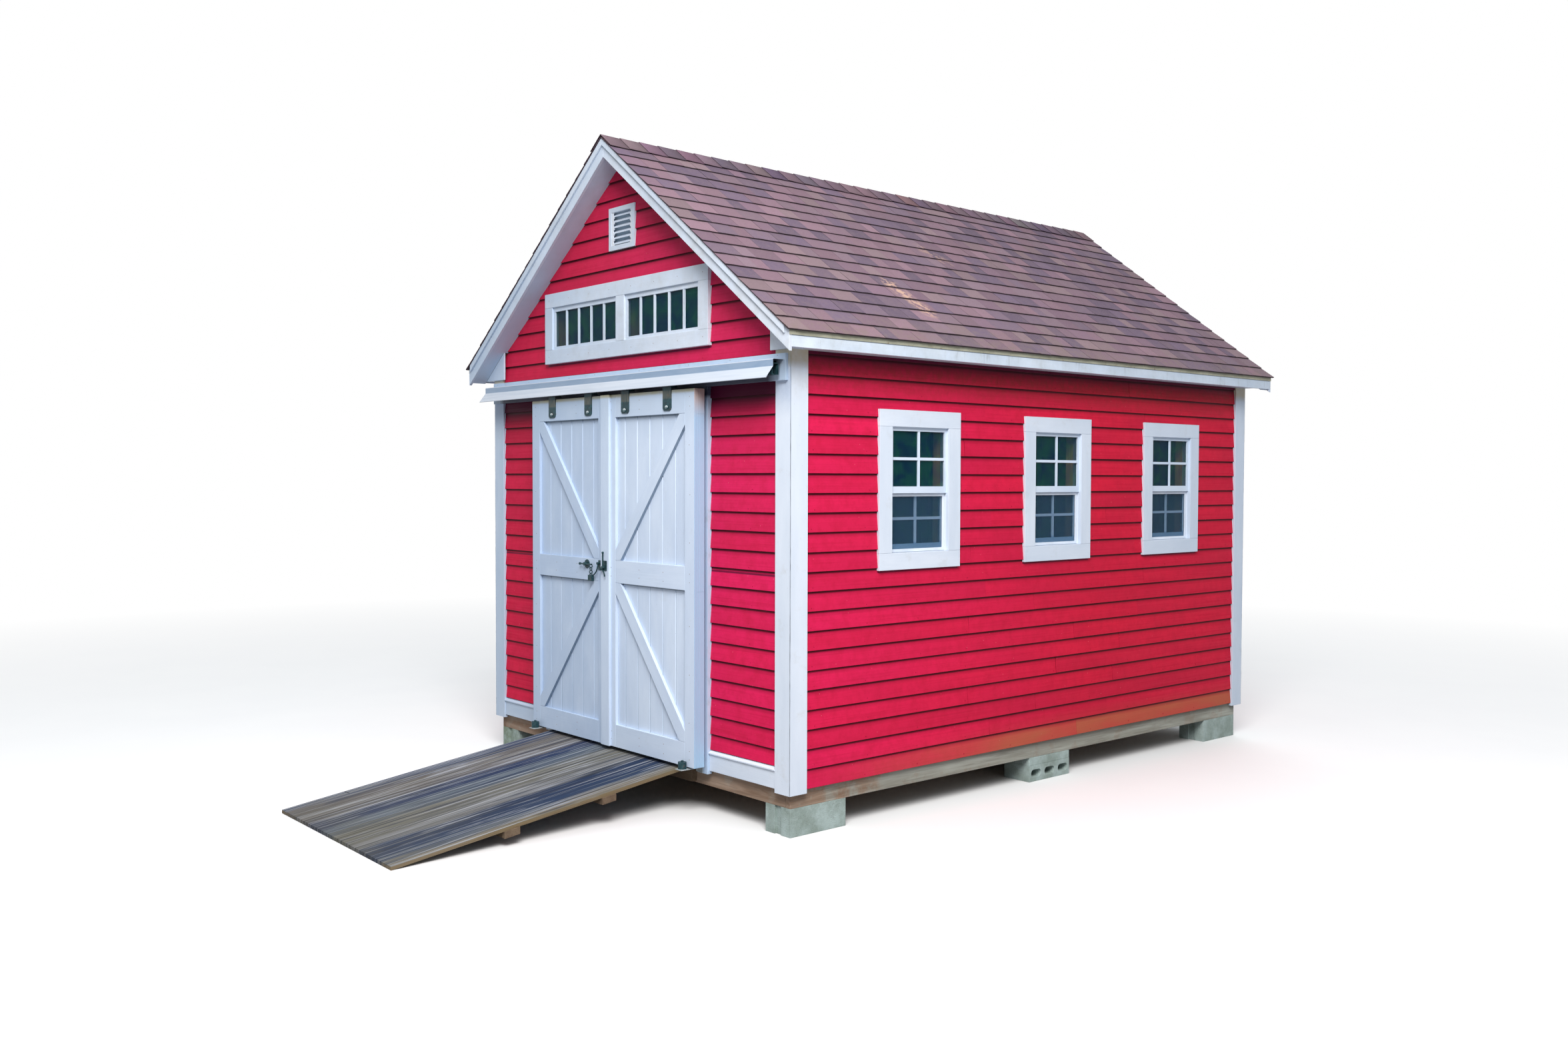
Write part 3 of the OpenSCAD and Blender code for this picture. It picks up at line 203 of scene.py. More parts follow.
def eased(node, ease):
    """A copy of a CAD node with eased edges, where each board has its own grain and tone."""
    work = bmesh.new()
    work.from_mesh(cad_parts[node].data)
    bmesh.ops.remove_doubles(work, verts=work.verts, dist=1e-5)
    bmesh.ops.dissolve_limit(work, angle_limit=math.radians(1), verts=work.verts, edges=work.edges)
    grain = work.verts.layers.float_vector.new("grain")
    tint = work.verts.layers.float.new("tint")
    weather = work.verts.layers.float.new("weather")
    draw = random.Random(node)
    for verts in sorted(islands(work), key=low_corner):
        axes = long_axes(verts)
        shift = Vector((draw.uniform(0, 9), draw.uniform(0, 9), draw.uniform(0, 9)))
        tone = draw.random()
        for vert in verts:
            vert[grain] = Vector([axis.dot(vert.co) for axis in axes]) + shift
            vert[tint] = tone
            # Share of painted shade on each point: more towards the far corners.
            vert[weather] = far_shade_share(vert.co)
    sharp = [e for e in work.edges if e.is_manifold and e.calc_face_angle() > math.radians(25)]
    bmesh.ops.bevel(work, geom=sharp, offset=ease, segments=2, profile=0.6, affect="EDGES",
                    clamp_overlap=True)
    work.normal_update()
    # Faces that point down are marked, for painted shade on the door leaves.
    under = work.verts.layers.float.new("under")
    for face in work.faces:
        if face.normal.z < -0.5:
            for vert in face.verts:
                vert[under] = 1.0
    mesh = bpy.data.meshes.new(node + "_eased")
    work.to_mesh(mesh)
    work.free()
    return put(node + "_eased", mesh)


# Materials

MATERIALS = {}


class Tree:
    """Short ways to build nodes in one shader tree."""

    def __init__(self, tree):
        self.tree = tree

    def node(self, kind, **settings):
        node = self.tree.nodes.new("ShaderNode" + kind)
        for key, value in settings.items():
            setattr(node, key, value)
        return node

    def feed(self, socket, value):
        if isinstance(value, bpy.types.NodeSocket):
            self.tree.links.new(value, socket)
        elif isinstance(value, tuple) and len(value) == 3 and socket.type == "RGBA":
            socket.default_value = (*value, 1.0)
        else:
            socket.default_value = value

    def filled(self, node, output=0, **values):
        """An output of a node whose named inputs are fed."""
        for name, value in values.items():
            self.feed(node.inputs[name.replace("_", " ")], value)
        return node.outputs[output]

    def maths(self, kind, operation, first, second=None, output=0):
        node = self.node(kind, operation=operation)
        self.feed(node.inputs[0], first)
        if second is not None:
            self.feed(node.inputs[1], second)
        return node.outputs[output]

    def sums(self, operation, first, second=None):
        return self.maths("Math", operation, first, second)

    def times(self, first, *others):
        for other in others:
            first = self.sums("MULTIPLY", first, other)
        return first

    def levels(self, value, low, high, to_low=0.0, to_high=1.0):
        return self.filled(self.node("MapRange"), Value=value, From_Min=low, From_Max=high,
                           To_Min=to_low, To_Max=to_high)

    def within(self, value, low, high, soft):
        """1 where a value lies between two limits, fading to 0 over a soft edge inside them."""
        return self.times(self.levels(value, low, low + soft), self.levels(value, high, high - soft))

    def axis(self, vector, name):
        return self.filled(self.node("SeparateXYZ"), name, Vector=vector)

    def backdrop_share(self):
        """1 for rays that see the backdrop: from the camera, in gloss or through glass."""
        path = self.node("LightPath").outputs
        share = path["Is Camera Ray"]
        for name in ("Is Glossy Ray", "Is Transmission Ray"):
            share = self.sums("MAXIMUM", share, path[name])
        return share

    def end(self, output, share, first, second):
        """Ends the tree in a mix of two shaders."""
        mix = self.node("MixShader")
        for socket, value in zip(mix.inputs, (share, first.outputs[0], second.outputs[0])):
            self.feed(socket, value)
        self.feed(self.tree.nodes[output].inputs["Surface"], mix.outputs[0])


class Look(Tree):
    """A material round one Principled shader, with a colour that coats are laid over."""

    def __init__(self, name, **sockets):
        self.name, self.material = name, bpy.data.materials.new(name)
        self.material.use_nodes = True
        super().__init__(self.material.node_tree)
        self.shader = self.tree.nodes["Principled BSDF"]
        self.filled(self.shader, **sockets)
        self.place = self.node("TexCoord").outputs["Object"]

    def at(self, name):
        """A coordinate in metres, in the frame of the rows."""
        return self.axis(self.place, name)

    def off_middle(self):
        return self.sums("ABSOLUTE", self.at("X"))

    def value(self, name, output="Fac"):
        """A number on the points of a piece."""
        return self.node("Attribute", attribute_name=name).outputs[output]

    def noise(self, scale, detail, rough, twist=0.0, on=None):
        """Fractal noise over places or over a vector on the points; three scales stretch it."""
        vector = self.value(on, "Vector") if on else self.place
        if isinstance(scale, tuple):
            vector, scale = self.maths("VectorMath", "MULTIPLY", vector, scale), 1.0
        return self.filled(self.node("TexNoise"), "Fac", Vector=vector, Scale=scale, Detail=detail,
                           Roughness=rough, Distortion=twist)

    def cells(self, scale):
        return self.filled(self.node("TexVoronoi"), "Distance", Vector=self.place, Scale=scale)

    def blend(self, share, first, second):
        node = self.node("Mix", data_type="RGBA", blend_type="MIX")
        for index, value in ((0, share), (6, first), (7, second)):
            self.feed(node.inputs[index], value)
        return node.outputs[2]

    def lay(self, pattern, low, high, pale, deep):
        """The first colour, from pale to deep as a pattern rises between two limits."""
        self.colour = self.blend(self.levels(pattern, low, high), pale, deep)

    def coat(self, colour, *shares):
        """Lays a colour over what is there, by the product of its shares; a tuple gives levels."""
        shares = [self.levels(*share) if isinstance(share, tuple) else share for share in shares]
        self.colour = self.blend(self.times(*shares), self.colour, colour)

    def bands(self, value, stops):
        """The first colour as bands along a value."""
        node = self.node("ValToRGB")
        self.feed(node.inputs[0], value)
        elements = node.color_ramp.elements
        for index, (place, colour) in enumerate(stops):
            element = elements[index] if index < 2 else elements.new(place)
            element.position, element.color = place, (*colour, 1.0)
        self.colour = node.outputs[0]

    def scar(self, start, end, width):
        """1 along a line between two places, fading to 0 at a width from it."""
        run = Vector(end) - Vector(start)
        offset = self.maths("VectorMath", "SUBTRACT", self.place, tuple(start))
        dot = self.maths("VectorMath", "DOT_PRODUCT", offset, tuple(run / run.length_squared), "Value")
        scale = self.node("VectorMath", operation="SCALE")
        self.feed(scale.inputs[0], tuple(run))
        foot = self.filled(scale, Scale=self.levels(dot, 0.0, 1.0))
        gap = self.maths("VectorMath", "DISTANCE", offset, foot, "Value")
        return self.levels(gap, width, 0.2 * width)

    def finish(self, rough, pattern=None, depth=0.0):
        """Sets the roughness, a number or two that the pattern runs between, and a bump of the pattern."""
        if isinstance(rough, tuple):
            rough = self.levels(pattern, 0.3, 0.7, *rough)
        if depth:
            bump = self.filled(self.node("Bump"), "Normal", Distance=depth, Height=pattern)
            self.feed(self.shader.inputs["Normal"], bump)
        self.filled(self.shader, Base_Color=self.colour, Roughness=rough)
        MATERIALS[self.name] = self.material


def board_paint(name, pale, deep, grime, grime_share, stain=None):
    """Paint on sawn boards: brushed grain, a tone for each board, grime that gathers in patches, and
    painted shade towards the far corners and in the open corner joints.
    """
    look = Look(name)
    fibres = look.noise((3.0, 140.0, 140.0), 4.0, 0.6, on="grain")
    patches = look.noise((1.6, 6.4, 6.4), 4.0, 0.6, on="grain")
    dirt = look.noise(7.0, 6.0, 0.7)
    look.lay(patches, 0.35, 0.65, pale, deep)
    look.coat(deep, look.value("tint"), 0.5)
    look.coat(deep, (fibres, 0.55, 0.8, 0.0, 0.25))
    look.coat(grime, (dirt, 0.58, 0.78, 0.0, grime_share))
    under_eave = look.levels(look.at("Z"), 2.15, 2.56)
    look.coat(grime, under_eave, (dirt, 0.35, 0.7, 0.1, 1.1), 0.35)
    look.coat((0.24, 0.25, 0.26), (look.cells(38.0), 0.045, 0.07, 0.45, 0.0))
    # Painted shade: bluer and darker towards the far left and the rear.
    look.coat((0.40, 0.52, 0.68), look.value("weather"), (patches, 0.3, 0.7, 0.7, 1.0))
    # Painted shade in the open mitre joints of the corner boards.
    look.coat((0.06, 0.075, 0.10), look.value("seam"))
    if stain:
        stain(look, dirt)
    look.finish((0.44, 0.60), fibres, 0.0005)


def corner_shadow_and_dust(look, dirt):
    """Corner boards: a painted shadow beside the track, and tan dust where they end under the soffit."""
    z = look.at("Z")
    front = look.levels(look.at("Y"), FRONT - 0.033, FRONT - 0.034)
    look.coat((0.36, 0.46, 0.64), look.within(z, 2.20, 2.50, 0.12), front, (dirt, 0.3, 0.6, 0.3, 0.6))
    look.coat((0.50, 0.43, 0.29), (z, 2.455, 2.500), (dirt, 0.3, 0.6, 0.6, 0.95))


def leaf_shade_and_dust(look, dirt):
    """Door leaves: painted shade under the hood, olive dust on top, painted shadow under the rails, and
    painted shade on the outer side faces with tan dust near their top.
    """
    z = look.at("Z")
    # Painted shade under the hood, stronger towards the top.
    look.coat((0.34, 0.45, 0.58), (z, LEAF_TOP - 0.282, LEAF_TOP - 0.012, 0.0, 0.5))
    planks = look.levels(look.at("Y"), FRONT - 0.1205, FRONT - 0.1195)
    # Painted shadow on the planks under each rail.
    for foot in LEAF_RAIL_FEET:
        look.coat((0.09, 0.14, 0.19), look.within(z, foot - 0.009, foot + 0.0005, 0.002), planks, 0.75)
    # Painted shade on every face that points down.
    look.coat((0.13, 0.20, 0.28), look.value("under"), 0.75)
    dusty = look.levels(z, LEAF_TOP - 0.024, LEAF_TOP - 0.010)
    look.coat((0.36, 0.34, 0.22), dusty, (dirt, 0.3, 0.6, 0.6, 0.95))
    high = look.levels(z, LEAF_TOP - 0.162, LEAF_TOP - 0.042)
    edge = look.levels(look.off_middle(), LEAF_OUTER - 0.0022, LEAF_OUTER - 0.0014, 0.0, 0.9)
    # Painted shade on the outer side faces, tan dust near their top.
    look.coat(look.blend(high, (0.31, 0.50, 0.69), (0.47, 0.37, 0.34)), edge)


def shaded_left_leaf(look, dirt):
    """The left leaf is painted darker and bluer than the right one, as painted shade, in cloudy patches."""
    clouds = look.noise((6.6, 6.6, 3.52), 5.0, 0.65)
    look.coat((0.42, 0.53, 0.70), (clouds, 0.35, 0.65, 0.15, 0.75))
    leaf_shade_and_dust(look, dirt)


def shaded_behind_hood(look, dirt):
    """Boards behind the hood and the track: painted shade, blue-grey above and near black in the gap under
    the hood.
    """
    look.coat((0.30, 0.36, 0.42), (dirt, 0.55, 0.70, 0.0, 0.4))
    gap = look.within(look.at("Z"), 2.330, 2.490, 0.020)
    # Painted shade: near black in the gap under the hood.
    look.coat((0.012, 0.012, 0.040), gap, (look.off_middle(), 1.46, 1.40), 0.93)


def drips_and_shadow_line(look, dirt):
    """Fascias: drip marks that run down, and a painted shadow line under the drip edge."""
    drips = look.noise((60.0, 34.0, 3.0), 4.0, 0.6)
    look.coat((0.33, 0.37, 0.42), (drips, 0.60, 0.70, 0.0, 0.6), (dirt, 0.4, 0.6))
    look.coat((0.10, 0.16, 0.24), look.within(look.at("Z"), 2.604, 2.612, 0.002), 0.8)


def shaded_lower_sash(look, dirt):
    """Sashes: the lower one is painted bluer and darker behind its insect screen, as painted shade, most
    along its bottom rail.
    """
    for top, tone in ((0.330, (0.36, 0.58, 0.84)), (0.060, (0.14, 0.33, 0.56))):
        look.coat(tone, (look.at("Z"), WINDOW_FOOT + top, WINDOW_FOOT + top - 0.010, 0.0, 0.75))


# Paints on boards: pale and deep tone, the grime's tone and share, and what else stains them or lays
# painted shade on them
TRIM_PALE, TRIM_DEEP = (0.73, 0.79, 0.88), (0.63, 0.70, 0.80)
BOARD_PAINTS = {
    "white_trim": (TRIM_PALE, TRIM_DEEP, (0.40, 0.37, 0.31), 0.30),
    "corner_paint": (TRIM_PALE, TRIM_DEEP, (0.40, 0.37, 0.31), 0.30, corner_shadow_and_dust),
    "fascia_paint": ((0.70, 0.78, 0.88), (0.58, 0.67, 0.79), (0.36, 0.38, 0.36), 0.30, drips_and_shadow_line),
    "sash_paint": ((0.71, 0.79, 0.90), (0.61, 0.71, 0.84), (0.40, 0.42, 0.42), 0.20, shaded_lower_sash),
    # Paint for the boards under the hood: a darker, bluer copy of the trim paint, as painted shade.
    "track_paint": ((0.53, 0.66, 0.83), (0.43, 0.56, 0.73), (0.34, 0.38, 0.40), 0.25, shaded_behind_hood),
    "door_paint": ((0.72, 0.81, 0.94), (0.61, 0.70, 0.85), (0.42, 0.42, 0.42), 0.20, leaf_shade_and_dust),
    # The left leaf's paint is a darker, bluer copy of the door paint: painted shade.
    "left_door_paint": ((0.65, 0.74, 0.88), (0.53, 0.62, 0.78), (0.38, 0.40, 0.42), 0.25, shaded_left_leaf),
    "soffit_paint": ((0.58, 0.65, 0.75), (0.48, 0.54, 0.64), (0.33, 0.29, 0.28), 0.35),
}


def siding_paint():
    """Crimson paint on clapboards, with painted shadow in the joint under each board, a pinker tint of
    painted cool light, and faded low at the rear.
    """
    look = Look("red_siding", Specular_IOR_Level=0.12)
    fibres = look.noise((2.0, 110.0, 110.0), 4.0, 0.6, on="grain")
    patches = look.noise((0.96, 3.6, 3.6), 3.0, 0.55, on="grain")
    mottle, mould = look.noise(13.0, 5.0, 0.72), look.noise(26.0, 5.0, 0.7)
    y, z, off_middle = look.at("Y"), look.at("Z"), look.off_middle()
    look.lay(patches, 0.3, 0.7, (0.70, 0.012, 0.046), (0.55, 0.009, 0.040))
    # Painted cool light: pinker paint where the sky tint is strong.
    look.coat((0.76, 0.015, 0.122), look.value("rose"), 0.8)
    look.coat((0.42, 0.010, 0.045), look.value("tint"), 0.3)
    look.coat((0.36, 0.006, 0.03), (fibres, 0.52, 0.78, 0.0, 0.35))
    look.coat((0.42, 0.006, 0.030), (mottle, 0.42, 0.68, 0.0, 0.38))
    look.coat((0.42, 0.13, 0.06), look.value("faded"), (patches, 0.3, 0.6, 0.4, 1.0))
    look.coat((0.80, 0.42, 0.42), (look.cells(17.0), 0.02, 0.035, 0.5, 0.0))
    # Side walls: mould and painted shade under the soffit, and a painted shadow against it
    at_side = look.levels(off_middle, 1.500, 1.510)
    eave_mould_and_shade = look.levels(z, 2.30, 2.50)
    look.coat((0.26, 0.026, 0.026), eave_mould_and_shade, (mould, 0.35, 0.65, 0.3, 0.8), at_side)
    look.coat((0.055, 0.002, 0.022), (z, 2.475, 2.545, 0.0, 0.9), at_side)
    # Front wall: painted shade, darker towards the gable, and a painted shadow darkest under the hood
    at_front = look.levels(y, FRONT, FRONT - 0.005)
    look.coat((0.30, 0.022, 0.058), (z, 1.2, 3.0, 0.0, 0.38), at_front)
    hood_shadow = look.levels(z, 2.215, 2.325, 0.0, 0.95)
    look.coat((0.040, 0.002, 0.020), hood_shadow, (z, 2.45, 2.44), at_front)
    # A painted shadow line under the transom, the vents and the windows
    from_window = look.sums("PINGPONG", look.sums("SUBTRACT", y, WINDOW_YS[1]), WINDOW_STEP / 2)
    for node, away, half, tall, tone, share in (
            ("transom_casing", off_middle, None, 0.016, (0.045, 0.002, 0.026), 0.85),
            ("gable_vents", off_middle, None, 0.016, (0.045, 0.002, 0.026), 0.85),
            ("window_casings", from_window, CASING_HALF, 0.014, (0.060, 0.002, 0.026), 0.8)):
        low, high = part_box(node)
        beside = look.levels(away, half or high.x, (half or high.x) - 0.001)
        look.coat(tone, look.within(z, low.z - tall, low.z, 0.004), beside, share)
    # Painted shadow in the joint under each board's butt.
    look.coat((0.030, 0.001, 0.006), look.value("shade"))
    look.finish((0.50, 0.65), fibres, 0.0006)


def shingle_grit():
    """Mineral granules: a tone for each tab, fine grit, lichen, a few tan stains, and painted shadow along
    the rows.
    """
    look = Look("shingle", Specular_IOR_Level=0.25)
    grit = look.noise(420.0, 2.0, 0.8)
    blotches, flecks = look.noise(22.0, 4.0, 0.65), look.noise(26.0, 5.0, 0.7)
    look.colour = look.value("tone", "Vector")
    look.coat((0.12, 0.085, 0.10), (grit, 0.45, 0.75, 0.0, 0.6))
    look.coat((0.46, 0.35, 0.39), (grit, 0.42, 0.30, 0.0, 0.5))
    look.coat((0.20, 0.14, 0.15), (blotches, 0.45, 0.75, 0.0, 0.4))
    # Lichen: two patches on the right slope, and a dusting along the eaves
    faint = look.times(look.scar((0.70, 0.52, 3.385), (0.80, 0.60, 3.31), 0.09), 0.45)
    patch = look.sums("ADD", look.scar((1.16, -0.27, 3.04), (1.407, -0.199, 2.855), 0.085), faint)
    lichen = look.blend(look.levels(grit, 0.4, 0.6), (0.44, 0.25, 0.18), (0.58, 0.41, 0.33))
    look.coat(lichen, patch, (flecks, 0.47, 0.54))
    at_eave = look.levels(look.at("Z"), 2.80, 2.63)
    look.coat((0.20, 0.155, 0.125), at_eave, (blotches, 0.40, 0.65, 0.10, 0.50))
    # Painted shadow at each tab's lower edge and under the next row.
    look.coat((0.022, 0.014, 0.017), look.value("shade"))
    look.finish(0.92, grit, 0.0015)


# Weathering across the ramp from left to right: where each band lies and its colour
RAMP_BANDS = (
    (0.00, (0.050, 0.066, 0.110)), (0.06, (0.046, 0.062, 0.108)), (0.085, (0.125, 0.115, 0.110)),
    (0.16, (0.105, 0.095, 0.090)), (0.175, (0.200, 0.190, 0.170)), (0.20, (0.120, 0.110, 0.105)),
    (0.27, (0.140, 0.130, 0.125)), (0.295, (0.014, 0.027, 0.078)), (0.385, (0.022, 0.038, 0.090)),
    (0.41, (0.150, 0.175, 0.195)), (0.44, (0.060, 0.085, 0.125)), (0.48, (0.120, 0.130, 0.130)),
    (0.51, (0.175, 0.170, 0.145)), (0.62, (0.125, 0.122, 0.105)), (0.68, (0.200, 0.200, 0.200)),
    (0.745, (0.150, 0.150, 0.145)), (0.77, (0.013, 0.027, 0.066)), (0.90, (0.020, 0.038, 0.082)),
    (0.925, (0.115, 0.130, 0.145)), (0.95, (0.060, 0.076, 0.105)), (0.97, (0.150, 0.145, 0.130)),
    (1.00, (0.170, 0.145, 0.100)),
)


def weathered_ply():
    """Bare plywood left outdoors: long streaks down the slope, from blue-grey to brown and white."""
    look = Look("ramp_wood", Specular_IOR_Level=0.15)
    low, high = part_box("ramp_deck")
    wander = look.noise((4.0, 0.6, 0.6), 3.0, 0.5)
    streaks = look.noise((34.0, 0.5, 0.5), 3.0, 0.6, 0.2)
    scrapes = look.noise((55.0, 1.6, 1.6), 3.0, 0.6)
    lines = look.noise((9.0, 0.12, 0.12), 2.0, 0.5)
    fibres = look.noise((260.0, 6.0, 6.0), 4.0, 0.6)
    patches = look.noise(2.2, 4.0, 0.6)
    across = look.levels(look.at("X"), low.x, high.x)
    for pattern, sway in ((wander, 0.03), (streaks, 0.06)):
        across = look.sums("ADD", across, look.levels(pattern, 0.3, 0.7, -sway, sway))
    look.bands(across, RAMP_BANDS)
    scraped = look.levels(scrapes, 0.575, 0.605, 0.0, 0.75)
    look.coat((0.34, 0.36, 0.40), scraped, (patches, 0.38, 0.58, 0.25, 1.0))
    look.coat((0.022, 0.032, 0.062), (scrapes, 0.425, 0.395, 0.0, 0.65))
    look.coat((0.022, 0.030, 0.052), (streaks, 0.40, 0.37, 0.0, 0.6))
    look.coat((0.23, 0.25, 0.27), (streaks, 0.61, 0.64, 0.0, 0.5))
    # Long thin lines where the grain has lifted, pale ones and dark ones
    look.coat((0.40, 0.41, 0.43), look.within(lines, 0.485, 0.510, 0.006), 0.7)
    look.coat((0.016, 0.020, 0.032), look.within(lines, 0.575, 0.595, 0.006), 0.7)
    look.coat((0.03, 0.03, 0.04), (fibres, 0.45, 0.75, 0.0, 0.25))
    # Browner and darker towards the toe, with a short crack in from the left side
    toe = look.levels(look.at("Y"), low.y + 1.0, low.y)
    look.coat((0.085, 0.080, 0.058), toe, (patches, 0.35, 0.6, 0.1, 0.5))
    from_toe = 0.36
    x, y, z = low.x, low.y + from_toe, (high.z - RAMP_T) * from_toe / (high.y - low.y) + RAMP_T
    look.coat((0.012, 0.012, 0.014), look.scar((x, y, z), (x + 0.065, y + 0.004, z), 0.005))
    look.coat((0.20, 0.15, 0.085), look.value("edge"))
    look.finish(0.82, fibres, 0.0012)


def sawn_fibres(look):
    return look.noise((3.0, 110.0, 110.0), 4.0, 0.65, 0.4, on="grain")


def bare_wood(name, pale, deep, rough):
    """Sawn lumber with grain in the length of each board."""
    look = Look(name)
    fibres = sawn_fibres(look)
    look.lay(look.noise((0.8, 22.0, 22.0), 3.0, 0.6, 0.6, on="grain"), 0.35, 0.65, pale, deep)
    look.coat(tuple(0.5 * c for c in deep), (fibres, 0.5, 0.75, 0.0, 0.6))
    look.coat(deep, look.value("tint"), 0.4)
    look.finish(rough, fibres, 0.001)


def rim_wood():
    """Rim boards: grey-green with age along the sides, brown at the front."""
    look = Look("rim_wood")
    fibres = sawn_fibres(look)
    bands = look.noise((1.2, 16.0, 16.0), 4.0, 0.65, 0.8, on="grain")
    rust = look.noise(6.0, 5.0, 0.65)
    look.lay(bands, 0.35, 0.65, (0.40, 0.41, 0.36), (0.25, 0.245, 0.205))
    brown = look.blend(look.levels(bands, 0.35, 0.65), (0.37, 0.27, 0.20), (0.20, 0.125, 0.080))
    front = look.sums("ADD", look.levels(look.at("Y"), FRONT + 0.02, FRONT + 0.9, 1.0, 0.0),
                      look.levels(rust, 0.4, 0.6, -0.35, 0.35))
    look.coat(brown, (front, 0.2, 0.8))
    look.coat((0.11, 0.09, 0.07), (fibres, 0.5, 0.75, 0.0, 0.55))
    look.finish(0.85, fibres, 0.001)


def jamb_wood():
    """Window frames: painted outside, and bare wood in the depth of the wall."""
    look = Look("jamb_wood")
    fibres = sawn_fibres(look)
    look.lay(fibres, 0.35, 0.65, (0.90, 0.59, 0.29), (0.72, 0.42, 0.18))
    paint = look.blend(look.levels(fibres, 0.4, 0.7), TRIM_PALE, TRIM_DEEP)
    look.coat(paint, (look.off_middle(), 1.4915, 1.4925))
    look.finish(0.6, fibres, 0.0006)


def drip_metal():
    """Painted drip edge: dulled to olive, with brown flecks of rust and lichen."""
    look = Look("drip_metal")
    rust = look.noise(45.0, 5.0, 0.7)
    look.lay(look.noise((12.0, 6.0, 18.0), 5.0, 0.65), 0.35, 0.65, (0.40, 0.40, 0.31), (0.27, 0.27, 0.20))
    look.coat((0.16, 0.085, 0.045), (rust, 0.60, 0.70, 0.0, 0.8))
    look.finish(0.6, rust, 0.0004)


def sheet_metal():
    """Painted sheet with long faint scratches and washed streaks; painted shade on the hood's face, and
    near black painted shade inside it.
    """
    look = Look("white_metal", Specular_IOR_Level=0.3)
    streaks = look.noise((2.0, 60.0, 60.0), 4.0, 0.6)
    smears = look.noise((3.0, 9.0, 9.0), 5.0, 0.65, 0.8)
    look.lay(streaks, 0.4, 0.7, (0.53, 0.58, 0.65), (0.45, 0.51, 0.59))
    look.coat((0.45, 0.50, 0.56), (smears, 0.55, 0.75, 0.0, 0.45))
    # Painted shade on the hood's front face and its inside.
    look.coat((0.20, 0.30, 0.44), look.value("dull"), (smears, 0.3, 0.6, 1.0, 0.8))
    # Near black painted shade inside the hood.
    look.coat((0.020, 0.018, 0.035), look.value("inside"))
    look.finish((0.28, 0.45), streaks, 0.0003)


def dark_enamel():
    """Black-green enamel on steel, dusty under the hood, with a painted glint on the top of each bolt head
    on the hangers.
    """
    look = Look("dark_steel", Specular_IOR_Level=0.25)
    film, rust = look.noise(60.0, 4.0, 0.6), look.noise(24.0, 5.0, 0.7)
    wiped = look.noise((170.0, 170.0, 14.0), 4.0, 0.6)
    z = look.at("Z")
    look.lay(film, 0.4, 0.7, (0.008, 0.030, 0.038), (0.024, 0.072, 0.085))
    look.coat((0.13, 0.055, 0.025), (rust, 0.62, 0.72, 0.0, 0.7))
    dusty = look.within(z, 2.330, 2.384, 0.008)
    look.coat((0.115, 0.115, 0.095), dusty, (wiped, 0.35, 0.65, 0.1, 0.9))
    # A bolt head stands 5 mm and more proud of the leaf's face, low on its strap
    proud = look.levels(look.at("Y"), FRONT - 0.1435, FRONT - 0.1440)
    # Painted glint on each bolt head's top, dark below it.
    bolt_glint = look.blend(look.levels(z, 2.284, 2.289), (0.10, 0.16, 0.18), (0.56, 0.62, 0.64))
    look.coat(bolt_glint, proud, look.within(z, 2.270, 2.302, 0.002), 0.85)
    # The plates of the floor guides are bare zinc
    zinc = look.blend(look.levels(film, 0.4, 0.7), (0.42, 0.46, 0.47), (0.28, 0.31, 0.32))
    look.coat(zinc, (z, 0.2690, 0.2695, 0.9, 0.0))
    look.finish((0.32, 0.55), film, 0.0006)


def rusty_heads():
    look = Look("nail_heads")
    rust = look.noise(300.0, 3.0, 0.6)
    look.lay(rust, 0.35, 0.65, (0.17, 0.15, 0.15), (0.28, 0.18, 0.13))
    look.finish(0.7, rust, 0.0004)


def woven(name, scale, pale, deep, rough, depth, **sockets):
    """Woven screens: the vents' and the finer insect mesh over the lower sashes."""
    look = Look(name, **sockets)
    weave = look.noise(scale, 2.0, 0.5)
    look.colour = look.blend(weave, pale, deep)
    look.finish(rough, weave, depth)


def cast_concrete():
    """Rough grey concrete with pits, stains and a green bloom on the blocks to the left."""
    look = Look("concrete")
    grit, stains = look.noise(160.0, 4.0, 0.7), look.noise(9.0, 5.0, 0.65)
    look.lay(stains, 0.35, 0.65, (0.43, 0.53, 0.51), (0.29, 0.36, 0.34))
    look.coat((0.20, 0.19, 0.18), (grit, 0.55, 0.75, 0.0, 0.6))
    at_left = look.levels(look.at("X"), -1.2, -1.5, 0.15, 0.8)
    look.coat((0.16, 0.21, 0.10), at_left, (stains, 0.4, 0.65))
    look.finish(0.95, look.times(grit, look.levels(look.cells(70.0), 0.0, 0.25)), 0.004)


def window_pane():
    """Old float glass: dark green-blue, with cloudy green patches that are a painted reflection of foliage.
    """
    look = Look("glass", Alpha=0.48, IOR=1.42, Specular_IOR_Level=0.15, Specular_Tint=(0.30, 0.75, 1.0))
    # Painted reflection: cloudy patches of dark green over navy.
    film = look.noise(11.0, 6.0, 0.72, 0.8)
    look.lay(film, 0.42, 0.60, (0.002, 0.028, 0.066), (0.008, 0.075, 0.058))
    look.finish((0.01, 0.04), film)


